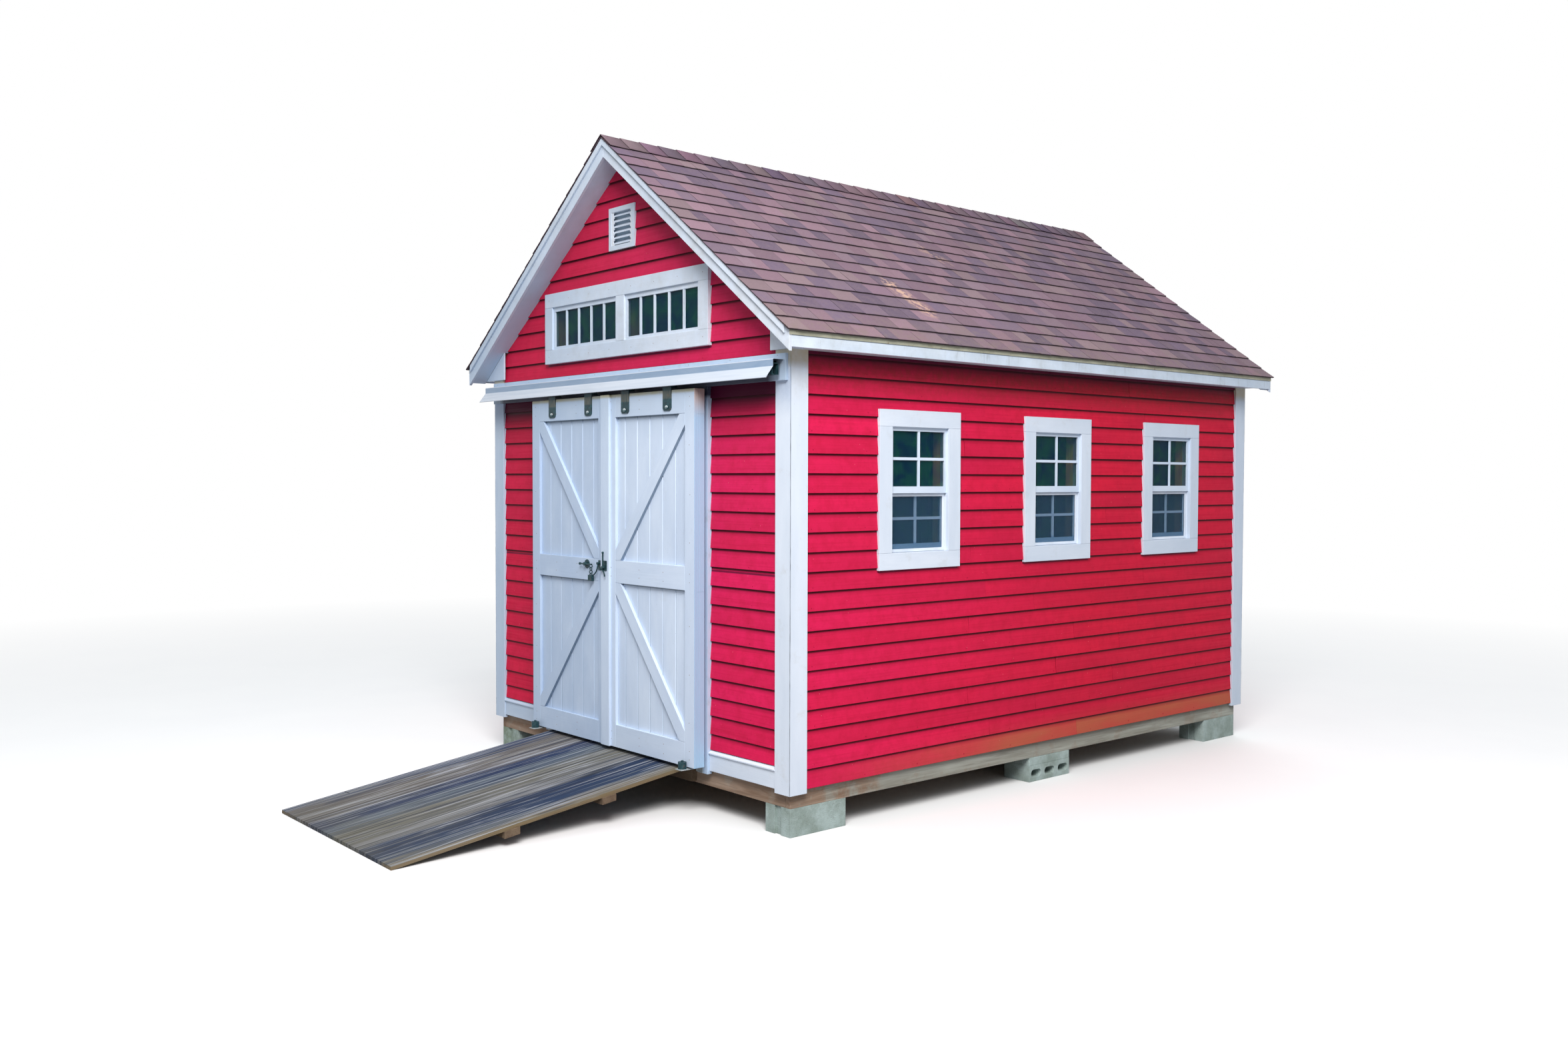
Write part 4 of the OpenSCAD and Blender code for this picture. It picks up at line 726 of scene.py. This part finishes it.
def make_materials():
    for name, paint in BOARD_PAINTS.items():
        board_paint(name, *paint)
    for make in (siding_paint, shingle_grit, weathered_ply, rim_wood, jamb_wood, drip_metal, sheet_metal,
                 dark_enamel, rusty_heads, cast_concrete, window_pane):
        make()
    bare_wood("weathered_wood", (0.38, 0.36, 0.30), (0.22, 0.185, 0.145), 0.85)
    bare_wood("batten_wood", (0.17, 0.12, 0.075), (0.10, 0.065, 0.04), 0.85)
    bare_wood("raw_wood", (0.50, 0.27, 0.11), (0.36, 0.17, 0.06), 0.75)
    woven("screen", 700.0, (0.36, 0.47, 0.58), (0.56, 0.70, 0.81), 0.8, 0.0005)
    woven("insect_mesh", 900.0, (0.012, 0.050, 0.105), (0.030, 0.090, 0.165), 0.7, 0.0002, Alpha=0.26)


# Clapboards

class Wall:
    """A plane to build on: u runs along it, d out of it and z up."""

    def __init__(self, origin, along, out):
        self.origin, self.along, self.out = Vector(origin), Vector(along), Vector(out)

    def point(self, u, d, z):
        return self.origin + self.along * u + self.out * d + Vector((0, 0, z))


def free_spans(low, high, covers):
    """What is left of low..high when the covered spans are taken away."""
    spans, at = [], low
    for a, b in sorted(covers):
        if b <= at or a >= high:
            continue
        if a > at:
            spans.append((at, a))
        at = max(at, b)
    if at < high:
        spans.append((at, high))
    return [(a, b) for a, b in spans if b - a > 0.002]


def board_section(row_z, low, high, droop, under_next):
    """The ring of one clapboard between two heights, and the shade of each of its points."""
    def depth(z):
        return BUTT_T - (BUTT_T - LAP_TOP_T) * min(1.0, (z - row_z) / LAP) - 0.0004
    tall = high - low
    ease = min(0.0016, tall / 8)
    ring = [(0.0, low), (depth(low) - ease, low + droop), (depth(low), low + ease + droop)]
    shade = [1.0, 0.75, 0.05]
    shadow = 0.034
    for below, share in ((shadow, 0.0), (0.015, 0.25), (0.0075, 0.88), (0.0, 1.0)):
        z = high - min(below, tall * (below / shadow) / 2)
        ring.append((depth(z), z))
        shade.append(share if under_next else 0.0)
    return ring + [(0.0, high)], shade + [shade[-1]]


class Cladding(Wall):
    """Rows of clapboards on one wall's sheathing, cut round its holes and to its outline."""

    def __init__(self, side, origin, along, out, low, high, outline, holes, joints_at, faded, rose):
        super().__init__(origin, along, out)
        self.builder = Builder(side + "_clapboards")
        self.low, self.high, self.outline, self.holes = low, high, outline, holes
        self.joints_at, self.faded, self.rose = joints_at, faded, rose

    def lay_boards(self):
        """Separate boards with butt joints in each row."""
        draw = random.Random(self.builder.name)
        row_z, row, cut = self.low, 0, 0.0006
        while row_z < self.high - 0.003:
            low_u, high_u = self.outline(row_z)
            joints = sorted(low_u + (high_u - low_u) * share for share in self.joints_at(row, draw))
            ends = [low_u] + joints + [high_u]
            for left, right in zip(ends[:-1], ends[1:]):
                board = {"droop": draw.uniform(-0.0006, 0.0008), "tint": draw.random(),
                         "shift": draw.uniform(0, 40), "step": draw.uniform(-0.0004, 0.0004),
                         "rose": draw.uniform(0.7, 1.0)}
                self.lay_board(board, row_z, left + (cut if left in joints else 0),
                               right - (cut if right in joints else 0))
            row_z += LAP
            row += 1

    def lay_board(self, board, row_z, left, right):
        """One board of a row: a solid for each stretch between the sides of the holes."""
        step_length = 0.35
        row_top = min(row_z + LAP, self.high)
        sides = sorted({left, right} | {u for hole in self.holes for u in hole[:2] if left < u < right})
        for a, b in zip(sides[:-1], sides[1:]):
            if b - a < 1e-4:
                continue
            covers = [(z0, z1) for u0, u1, z0, z1 in self.holes if u0 < (a + b) / 2 < u1]
            for low, high in free_spans(row_z, row_top, covers):
                section, shade = board_section(row_z, low, high, board["droop"], high >= row_z + LAP - 1e-4)
                count = max(1, math.ceil((b - a) / step_length))
                rings, grains, fades, sky_tints = [], [], [], []
                for i in range(count + 1):
                    u = a + (b - a) * i / count
                    bow = 0.0007 * math.sin(3.1 * u + board["shift"]) + board["step"]
                    ring = []
                    for index, (d, z) in enumerate(section):
                        least, most = self.outline(z)
                        out = d + (bow if 0 < index < len(section) - 1 else 0)
                        ring.append(self.point(min(max(u, least), most), out, z))
                        grains.append((u + board["shift"], d * 2, z - row_z))
                        fades.append(float(self.faded(u, z)))
                        sky_tints.append(board["rose"] * self.rose(u))
                    rings.append(ring)
                self.builder.loft(rings, shade=shade * (count + 1), tint=board["tint"], grain=grains,
                                  faded=fades, rose=sky_tints)

    def lay_nails(self, spacing=0.406, room=0.03, margin=0.02):
        """Painted nail heads in each row, over every stud."""
        draw = random.Random(self.builder.name + "nails")
        row_z = self.low
        while row_z < self.high - room:
            low_u, high_u = self.outline(row_z + room)
            for i in range(math.ceil(low_u / spacing), math.floor(high_u / spacing) + 1):
                u = i * spacing + draw.uniform(-0.02, 0.02)
                z = row_z + draw.uniform(0.014, 0.022)
                in_hole = any(u0 - margin < u < u1 + margin and z0 - margin / 2 < z < z1 + margin / 2
                              for u0, u1, z0, z1 in self.holes)
                if in_hole or not low_u + margin < u < high_u - margin:
                    continue
                d = BUTT_T - (BUTT_T - LAP_TOP_T) * (z - row_z) / LAP - 0.0008
                self.builder.disc(self.point(u, d, z), self.out, 0.0038, 0.0012, 6, shade=0.35,
                                  tint=draw.random(), grain=(u, 0.0, z), faded=0.0, rose=0.9 * self.rose(u))
            row_z += LAP


def side_outline(z):
    low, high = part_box("right_siding")
    return low.y, high.y


def end_outline(z):
    """Half the width of a gable wall's siding at a height."""
    wide, under_rake = 1.438, 3.79525
    half = min(wide, (under_rake - z) / PITCH)
    return -half, half


def joints_in_side(row, draw):
    return [draw.uniform(0.28, 0.4), draw.uniform(0.62, 0.74)] if row % 2 else [draw.uniform(0.44, 0.56)]


def joints_in_end(row, draw):
    return [draw.uniform(0.35, 0.65)] if row % 3 == 1 else []


def unfaded(u, z):
    return 0.0


def low_and_rear(u, z):
    """How faded the right wall is: most along its lowest board, towards the rear."""
    return 0.75 * clamped((u - FRONT - 0.2) / 1.6) * clamped((0.36 - z) / 0.03)


def sky_tint_near_front(u):
    """How much painted cool light tints a side wall's paint pinker: most near the front."""
    return 0.75 * clamped(1.0 - (u - FRONT) / 2.6)


def sky_tint_to_right(u):
    """How much painted cool light tints the front wall's paint pinker: least at its left."""
    return clamped(0.7 + u / HALF_W, 0.35)


# Painted cool light on the rear wall: an even pink tint.
def sky_tint_at_rear(u):
    return 0.4


def hole_for(node):
    low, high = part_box(node)
    return low.x, high.x, low.z, high.z


def dress_sidings():
    window_low, window_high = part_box("window_casings")
    windows = [(y - CASING_HALF, y + CASING_HALF, window_low.z, window_high.z) for y in WINDOW_YS]
    low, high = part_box("right_siding")
    vent = hole_for("gable_vents")
    doorway = (-DOORWAY_HALF, DOORWAY_HALF, 0.0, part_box("track_board")[0].z)
    water_table = (-2.0, 2.0, 0.0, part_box("water_table")[1].z)
    out = HALF_W + SHEATHING
    walls = (
        ("right", (out, 0, 0), (0, 1, 0), (1, 0, 0), low.z, high.z, side_outline, windows,
         joints_in_side, low_and_rear, sky_tint_near_front),
        ("left", (-out, 0, 0), (0, 1, 0), (-1, 0, 0), low.z, high.z, side_outline, windows,
         joints_in_side, unfaded, sky_tint_near_front),
        ("front", (0, FRONT - SHEATHING, 0), (1, 0, 0), (0, -1, 0), low.z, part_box("front_siding")[1].z,
         end_outline, [vent, hole_for("transom_casing"), doorway, water_table],
         joints_in_end, unfaded, sky_tint_to_right),
        ("rear", (0, BACK + SHEATHING, 0), (1, 0, 0), (0, 1, 0), low.z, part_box("rear_siding")[1].z,
         end_outline, [vent], joints_in_end, unfaded, sky_tint_at_rear),
    )
    for side, *rest in walls:
        wall = Cladding(side, *rest)
        wall.lay_boards()
        wall.lay_nails()
        settle(wall.builder.make(), "shed", "red_siding", "red_siding", side + "_siding")


# Roof

TAB_TONES = (
    (0.245, 0.150, 0.190), (0.215, 0.130, 0.170), (0.190, 0.117, 0.162), (0.135, 0.095, 0.148),
    (0.120, 0.085, 0.132), (0.225, 0.155, 0.175), (0.190, 0.120, 0.158), (0.210, 0.142, 0.180),
    (0.155, 0.108, 0.152),
)
UNDERLAY_TONE = TAB_TONES[3]


def on_slope(side, t, y, lift):
    """A point of the roof: t up the slope from the shingles' edge, lifted square to it."""
    x = SHINGLE_HIGH.x - t * SLOPE_COS + lift * SLOPE_SIN
    return side * x, y, EAVE_Z + t * SLOPE_SIN + lift * SLOPE_COS


def strip(side, stations, t0, t1, under0, top0, under1, top1):
    """Rings of a thin tapered slab on the slope; each station is its y and how far its edge is worn."""
    rings = []
    nose, shade_start, shade_end = 0.005, 0.012, 0.0065
    for y, worn in stations:
        ring = [on_slope(side, t0 + worn, y, under0), on_slope(side, t0 + worn, y, top0)]
        for t in (t0 + nose + worn, t1 - shade_start - worn, t1 - shade_end - worn):
            ring.append(on_slope(side, t, y, top0 + (top1 - top0) * (t - t0) / (t1 - t0)))
        rings.append(ring + [on_slope(side, t1, y, top1), on_slope(side, t1, y, under1)])
    return rings


def lay_row(builder, draw, side, t0, t1):
    """One row of shingles: a lower layer painted dark as shade, and separate tabs over it."""
    y, y_end = SHINGLE_LOW.y, SHINGLE_HIGH.y
    half = SHINGLE_T / 2
    taper = (SHINGLE_T - SHINGLE_TOP_T) * (t1 - t0) / SHINGLE_STEP
    builder.loft(strip(side, ((y + 0.002, 0.0), (y_end - 0.002, 0.0)), t0 + 0.006, t1 + 0.004,
                       0.0002, half - 0.0004, 0.0002, half - taper + 0.0001),
                 tone=UNDERLAY_TONE, shade=0.75)
    narrow, wide, least = 0.085, 0.20, 0.07
    while y < y_end - 0.001:
        end = y + draw.uniform(narrow, wide)
        if y_end - end < least:
            end = y_end
        tone, bright = draw.choice(TAB_TONES), draw.uniform(0.85, 1.15)
        start = y + draw.choice((0.0008, 0.0015, 0.003))
        lift = draw.uniform(0.0, 0.0012)
        stations = [(start + (end - start) * i / 3, draw.uniform(0.0, 0.0035)) for i in range(4)]
        shades = []
        for _ in stations:
            shades += [1.0, draw.uniform(0.5, 0.9), 0.0, 0.0, draw.uniform(0.45, 0.85), 1.0, 1.0]
        builder.loft(strip(side, stations, t0, t1 + 0.004, half, SHINGLE_T - lift, half - taper + 0.0002,
                           SHINGLE_T - taper - 0.0002 - lift),
                     tone=tuple(bright * c for c in tone), shade=shades)
        y = end


def dress_shingles():
    builder = Builder("shingle_tabs")
    draw = random.Random("shingles")
    length = SHINGLE_HIGH.x / SLOPE_COS
    rows = math.floor((SHINGLE_HIGH.x - 0.060) / (SHINGLE_STEP * SLOPE_COS))
    for side in (1, -1):
        for row in range(rows):
            t0 = row * SHINGLE_STEP
            lay_row(builder, draw, side, t0, min(t0 + SHINGLE_STEP, length - 0.01))
        lay_row(builder, draw, side, rows * SHINGLE_STEP, length - 0.002)
    settle(builder.make(), "shed", "shingle", "shingle", "shingles")


def dress_ridge():
    """Cap shingles folded over the ridge, each lapping the one behind it."""
    low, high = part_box("ridge_cap")
    builder = Builder("ridge_caps")
    draw = random.Random("ridge")
    spacing, thick, front_lift, rear_lift = 0.137, 0.0032, 0.0042, 0.0002
    count = round((high.y - low.y) / spacing)
    step = (high.y - low.y) / count
    for i in range(count):
        rings = []
        for y, lift in ((low.y + step * i, front_lift), (low.y + step * (i + 1), rear_lift)):
            reach = high.x - 0.001 - draw.uniform(0, 0.003)
            peak = high.z - 0.0075 + lift
            foot = peak - reach * PITCH
            rings.append([(0, y, peak), (reach, y, foot), (reach, y, foot + thick), (0, y, peak + thick),
                          (-reach, y, foot + thick), (-reach, y, foot)])
        tone = tuple(draw.uniform(0.85, 1.15) * c for c in draw.choice(TAB_TONES))
        builder.loft(rings, tone=tone, shade=[0.9, 0.9, 0.25, 0.0, 0.25, 0.9, 0.6, 0.6, 0.5, 0.5, 0.5, 0.6])
    settle(builder.make(), "shed", "shingle", "shingle", "ridge_cap")


# Painted boards

# Nodes that keep their CAD shape: body, slot, look, width of the eased edges, names
EASED_NODES = (
    ("shed", "white_trim", "white_trim", 0.0018,
     "water_table window_casings transom_casing transom_sashes gable_vents "
     "rake_boards rake_strips eave_ends"),
    ("shed", "weathered_wood", "weathered_wood", 0.003, "floor_joists"),
    ("shed", "raw_wood", "raw_wood", 0.0018,
     "floor_deck side_plates end_plates wall_studs wall_beams side_sheathing end_sheathing rafters "
     "ridge_board rafter_ties roof_deck"),
    ("shed", "dark_steel", "dark_steel", 0.0008, "door_track track_fittings floor_guides"),
    ("shed", "concrete", "concrete", 0.004, "ground_blocks cap_blocks"),
    ("left_door", "door_paint", "left_door_paint", 0.0018,
     "left_door_planks left_door_frame left_door_trim"),
    ("left_door", "dark_steel", "dark_steel", 0.0008, "left_door_hangers door_latch"),
    ("right_door", "door_paint", "door_paint", 0.0018,
     "right_door_planks right_door_frame right_door_trim astragal"),
    ("right_door", "dark_steel", "dark_steel", 0.0008, "right_door_hangers door_pull"),
    ("shed", "white_trim", "soffit_paint", 0.001, "soffits"),
    ("shed", "weathered_wood", "batten_wood", 0.002, "ramp_battens"),
    ("shed", "white_trim", "fascia_paint", 0.0018, "fascias"),
    ("shed", "white_trim", "sash_paint", 0.0018, "window_sashes"),
    ("shed", "white_trim", "track_paint", 0.0018, "track_board door_casings"),
    ("shed", "weathered_wood", "rim_wood", 0.003, "side_rims end_rims"),
    ("shed", "white_trim", "jamb_wood", 0.0018, "window_frames"),
    ("shed", "white_metal", "drip_metal", 0.0005, "drip_edges"),
    ("shed", "glass", "glass", 0.0005, "window_glass transom_glass"),
)


def dress_boards():
    for body, slot, look, ease, nodes in EASED_NODES:
        for node in nodes.split():
            settle(eased(node, ease), body, slot, look, node)


def dress_corners():
    """Corner boards mitred at the corner, where the joint opens and closes along its height, with painted
    shade in the open joint and towards the far corners.
    """
    low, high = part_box("corner_boards")
    width, thick, round_off, steps = 0.122, 0.025, 0.0015, 60
    draw = random.Random("corners")
    builder = Builder("mitred_corners")
    for side in (1, -1):
        for end in (1, -1):
            for on_side in (False, True):
                tint, shift = draw.random(), draw.uniform(0, 9)
                # Painted shade towards the far corners, as on the other boards.
                worn = far_shade_share(Vector((side * high.x, low.y if end > 0 else high.y, 0)))
                rings, grains = [], []
                for i in range(steps + 1):
                    z = low.z + (high.z - low.z) * i / steps
                    gap = max(0.0002, draw.uniform(-0.0008, 0.0017))
                    ring = []
                    for along, depth in ((gap, 0.0004), (gap + 0.0008, 0.0), (0.005, 0.0),
                                         (width - round_off, 0.0), (width, round_off), (width, thick),
                                         (thick + gap, thick)):
                        x, y = (depth, along) if on_side else (along, depth)
                        ring.append((side * (high.x - x), low.y + y if end > 0 else high.y - y, z))
                        grains.append((z + shift, along + shift, depth))
                    rings.append(ring)
                # Points on the faces of the open joint carry painted shade.
                builder.loft(rings, grain=grains, tint=tint, weather=worn,
                             seam=[1.0, 0.5, 0.0, 0.0, 0.0, 0.0, 1.0] * (steps + 1))
    settle(builder.make(), "shed", "white_trim", "corner_paint", "corner_boards")


def mitred_frame(builder, wall, u0, u1, z0, z1, bar, thick):
    """Four mitred bars round an opening, each with its outer edges eased."""
    ease = 0.0012
    front, back = thick / 2, -thick / 2
    section = [(0.0, back), (0.0, front - ease), (ease, front), (bar - ease, front), (bar, front - ease),
               (bar, back)]
    corners = [(u0, z0, 1, 1), (u1, z0, -1, 1), (u1, z1, -1, -1), (u0, z1, 1, -1)]
    for ends in zip(corners, corners[1:] + corners[:1]):
        rings = [[wall.point(u + to_u * inset, d, z + to_z * inset) for inset, d in section]
                 for u, z, to_u, to_z in ends]
        builder.loft(rings, grain=[(p.z, p.y, p.x) for ring in rings for p in ring], tint=0.2)


def dress_screens():
    """A half insect screen outside the lower sash of each window."""
    frames, meshes = Builder("screen_frames"), Builder("screen_mesh")
    half, bar, tall, hidden = 0.2285, 0.017, 0.3285, 0.003
    foot = WINDOW_FOOT + 0.002
    for side in (1, -1):
        wall = Wall((side * HALF_W, 0, 0), (0, 1, 0), (side, 0, 0))
        for y in WINDOW_YS:
            mitred_frame(frames, wall, y - half, y + half, foot, foot + tall, bar, 0.009)
            reach, low, high = half - bar + hidden, foot + bar - hidden, foot + tall - bar + hidden
            ring = [(y - reach, low), (y + reach, low), (y + reach, high), (y - reach, high)]
            meshes.loft([[wall.point(u, d, z) for u, z in ring] for d in (-0.0006, 0.0)])
    settle(frames.make(), "shed", "white_trim", "white_trim")
    settle(meshes.make(), "shed", "dark_steel", "insect_mesh")


# Hood, ramp, nails and vents

def dress_hood():
    """The hood as one folded sheet: a flange on the board, a top, a face and a lip with a hem."""
    low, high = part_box("track_hood")
    wall_y, top, face_y = high.y, high.z, high.y - 0.071
    face_low, lip_y, lip_z = top - 0.038, low.y + 0.001, low.z + 0.003
    thick = 0.0014
    outside = [(wall_y, top), (face_y + 0.003, top), (face_y, top - 0.003), (face_y, top - 0.0055),
               (face_y, face_low + 0.0015), (face_y - 0.001, face_low - 0.001), (lip_y, lip_z),
               (lip_y + 0.0015, lip_z - 0.0025), (lip_y + 0.010, lip_z + 0.0075)]
    inside = [(lip_y + 0.0095, lip_z + 0.0095), (lip_y + 0.003, lip_z + 0.0015),
              (face_y + thick, face_low - 0.0005), (face_y + thick, top - 0.004),
              (face_y + 0.004, top - thick), (wall_y, top - thick)]
    # Shares of painted shade for each point: on the face and inside, darkest deep inside.
    dull = [0.0] * 3 + [0.95] * 2 + [0.0] * 4 + [0.8] * 6
    dark = [0.0] * 9 + [0.6] + [1.0] * 5
    builder = Builder("folded_hood")
    draw = random.Random("hood")
    count = 40
    rings = []
    for i in range(count + 1):
        x = low.x + (high.x - low.x) * i / count
        sway = max(0.0, 0.0012 * math.sin(2.3 * x) + draw.uniform(-0.0004, 0.0004))
        rings.append([(x, y + (sway if y < face_y - 0.01 else 0), z) for y, z in outside + inside])
    builder.loft(rings, dull=dull * (count + 1), inside=dark * (count + 1))
    settle(builder.make(), "shed", "white_metal", "white_metal", "track_hood")


def dress_ramp():
    """The ramp's sheet as five plies, with edges that have worn back unevenly."""
    low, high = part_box("ramp_deck")
    draw = random.Random("ramp")
    builder = Builder("ramp_plies")
    run = high.y - low.y
    slope = (high.z - RAMP_T) / run
    rise = RAMP_T * math.sqrt(1 + slope * slope)
    plies, lengthwise, across = 5, 24, 10
    for ply in range(plies):
        z0, z1 = rise * ply / plies, rise * (ply + 1) / plies
        inset = draw.uniform(0.0, 0.0012)
        rings, edges = [], []
        for i in range(lengthwise + 1):
            y = low.y + inset + (run - 2 * inset) * i / lengthwise
            under = high.z - (high.y - y) * slope - (0.0005 if y > low.y + 0.01 else 0) - rise
            left = low.x + inset + draw.uniform(0, 0.0012)
            right = high.x - inset - draw.uniform(0, 0.0012)
            xs = [left + (right - left) * k / across for k in range(across + 1)]
            ring = [(x, y, under + z0) for x in xs] + [(x, y, under + z1) for x in xs[::-1]]
            # A worn edge shows its plies, but not on the top of the sheet
            for x, _, z in ring:
                at_side = x < left + 1e-6 or x > right - 1e-6
                edges.append(0.9 if at_side and not (ply == plies - 1 and z == under + z1) else 0.0)
            rings.append(ring)
        builder.loft(rings, edge=edges)
    settle(builder.make(), "shed", "ramp_wood", "ramp_wood", "ramp_deck")


def drive_nails(builder, draw, x, z, face_y, count=1):
    """Nail heads one above the other."""
    for i in range(count):
        at = z + 0.05 * (i - (count - 1) / 2)
        centre = (x + draw.uniform(-0.004, 0.004), face_y, at + draw.uniform(-0.004, 0.004))
        builder.disc(centre, (0, -1, 0), 0.0024, 0.0008, 8)


def spread(low, high, margin, count=8):
    """Evenly spaced places, a margin inside both ends."""
    return [low + margin + (high - low - 2 * margin) * i / (count - 1) for i in range(count)]


def dress_nails():
    """Nail heads on the leaves' trim, the transom casing and the track board."""
    for body, sign in (("left_door", -1), ("right_door", 1)):
        draw = random.Random(body)
        low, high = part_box(body + "_trim")
        builder = Builder(body + "_nails")
        middle, margin = (low.z + high.z) / 2, 0.068
        inner, outer = 0.047, 0.829
        for z in (low.z + margin, middle, high.z - margin):
            for x in (inner, 0.34, 0.58, outer):
                drive_nails(builder, draw, sign * x, z, low.y, 2)
        for i in range(3):
            for z in (low.z + 0.25, middle + 0.2):
                drive_nails(builder, draw, sign * outer, z + 0.27 * i, low.y)
        settle(builder.make(), body, "door_paint", "nail_heads")
    draw = random.Random("shed nails")
    builder = Builder("board_nails")
    low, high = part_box("track_board")
    places = spread(low.x, high.x, 0.06)
    for x in places:
        stray = draw.uniform(-0.1, 0.1) * (places[0] < x < places[-1])
        drive_nails(builder, draw, x + stray, high.z - 0.012, low.y)
    low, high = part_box("transom_casing")
    for x in spread(low.x, high.x, 0.05):
        for z in (low.z + 0.045, high.z - 0.045):
            drive_nails(builder, draw, x, z, low.y)
    settle(builder.make(), "shed", "white_trim", "nail_heads")


def vent_cheek(builder, inner, outer, low_z, high_z, ys, slots):
    """A strip beside the louvres with a half-round notch at the end of each slot."""
    toward = 1 if outer > inner else -1
    step = (high_z - low_z) / slots
    radius = 0.30 * step
    outline = [(inner, low_z)]
    for i in range(slots):
        centre = low_z + (i + 0.62) * step
        for k in range(9):
            angle = math.pi * (k / 8 - 0.5)
            outline.append((inner + toward * radius * math.cos(angle), centre + radius * math.sin(angle)))
    outline += [(inner, high_z), (outer, high_z), (outer, low_z)]
    builder.loft([[(x, y, z) for x, z in outline] for y in ys],
                 grain=[(z, x, y) for y in ys for x, z in outline], tint=0.3)


def dress_vents():
    """Insect screens behind the louvres, and cheeks beside them."""
    low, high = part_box("gable_vents")
    rim, slots, cheek_w, strands, step = 0.028, 6, 0.026, 21, 0.0105
    z0, z1 = low.z + rim, high.z - rim
    cheeks, screens = Builder("vent_cheeks"), Builder("vent_screens")
    for face, into in ((low.y, 1), (high.y, -1)):
        ys = (face + into * 0.003, face + into * 0.008)
        for side in (-1, 1):
            outer = side * (high.x - rim)
            vent_cheek(cheeks, outer - side * cheek_w, outer, z0, z1, ys, slots)
        front = sorted((face + into * 0.0285, face + into * 0.0295))
        for i in range(strands):
            x = (i - (strands - 1) / 2) * step
            screens.box((x - 0.003, front[0], z0), (x + 0.003, front[1], z1))
        back = sorted((face + into * 0.0300, face + into * 0.0315))
        screens.box((-0.110, back[0], z0), (0.110, back[1], z1))
    settle(cheeks.make(), "shed", "white_trim", "white_trim")
    settle(screens.make(), "shed", "dark_steel", "screen")


# Camera, light and floor

def add_camera():
    """The photograph's camera, from a fit to the corners of the shed."""
    yaw, pitch, roll = (math.radians(angle) for angle in (49.165, -1.899, 0.158))
    forward = Vector((-math.sin(yaw) * math.cos(pitch), math.cos(yaw) * math.cos(pitch), math.sin(pitch)))
    level = Vector((math.cos(yaw), math.sin(yaw), 0))
    right = level * math.cos(roll) + level.cross(forward) * math.sin(roll)
    turn = Matrix((right, right.cross(forward), -forward)).transposed().to_4x4()
    camera = put("camera", bpy.data.cameras.new("camera"))
    camera.data.lens = 30.29
    camera.data.sensor_width = 36
    camera.data.clip_end = 200
    camera.matrix_world = Matrix.Translation((6.6895, -5.8595, 1.8852)) @ turn
    bpy.context.scene.camera = camera


def add_world():
    """Light that is brighter overhead, as under a cloudy sky among trees, and white where it is seen."""
    world = bpy.data.worlds.new("studio")
    world.use_nodes = True
    bpy.context.scene.world = world
    sky = Tree(world.node_tree)
    height = sky.axis(sky.node("TexCoord").outputs["Generated"], "Z")
    soft, white = world.node_tree.nodes["Background"], sky.node("Background")
    sky.filled(soft, Color=(0.88, 0.94, 1.0), Strength=sky.levels(height, 0.0, 1.0, 0.18, 0.76))
    sky.filled(white, Color=(1.0, 1.0, 1.0))
    sky.end("World Output", sky.backdrop_share(), soft, white)


def add_lamp(name, kind, place, aim, energy, colour, **settings):
    lamp = put(name, bpy.data.lights.new(name, kind))
    lamp.data.energy, lamp.data.color = energy, colour
    for key, value in settings.items():
        setattr(lamp.data, key, value)
    lamp.location = place
    lamp.rotation_euler = (Vector(place) - Vector(aim)).to_track_quat("Z", "Y").to_euler()


def add_lights():
    """A high soft sun, a large lamp by the front right corner that fades to the left, and a fill."""
    add_lamp("key", "SUN", (5.2, -3.4, 6.2), (0, 0, 0), 0.5, (1.0, 0.985, 0.96), angle=math.radians(30))
    add_lamp("soft_box", "AREA", (6.2, -5.6, 7.5), (0.8, -0.5, 1.3), 1020.0, (1.0, 0.98, 0.97), size=4.5)
    add_lamp("fill", "SUN", (-5.0, 6.0, 4.5), (0, 0, 0), 0.9, (0.96, 0.98, 1.0), angle=math.radians(50))


def add_floor():
    """A pale floor that keeps the shed's shadow and turns white in the distance."""
    reach = 60.0
    mesh = bpy.data.meshes.new("floor")
    mesh.from_pydata([(-reach, -reach, 0), (reach, -reach, 0), (reach, reach, 0), (-reach, reach, 0)],
                     [], [(0, 1, 2, 3)])
    floor = put("floor", mesh)
    floor.location.z = -0.0005
    look = Look("floor")
    pale = look.blend(look.noise(1.3, 4.0, 0.6), (0.88, 0.88, 0.87), (0.84, 0.84, 0.84))
    look.colour = look.blend(look.node("LightPath").outputs["Is Diffuse Ray"], pale, (0.32, 0.32, 0.33))
    look.finish(0.9)
    far = look.levels(look.maths("VectorMath", "LENGTH", look.place, output="Value"), 4.5, 13.0)
    look.end("Material Output", look.times(far, look.backdrop_share()), look.shader, look.node("Emission"))
    mesh.materials.append(look.material)
    floor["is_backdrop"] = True


def save_sizes():
    plain = [[list(map(float, corner)) for corner in bounds] for bounds in (cad_bounds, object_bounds())]


make_materials()
dress_boards()
dress_corners()
dress_screens()
dress_sidings()
dress_shingles()
dress_ridge()
dress_hood()
dress_ramp()
dress_vents()
dress_nails()
add_camera()
add_world()
add_lights()
add_floor()
bpy.context.scene.view_settings.view_transform = "Standard"
save_sizes()
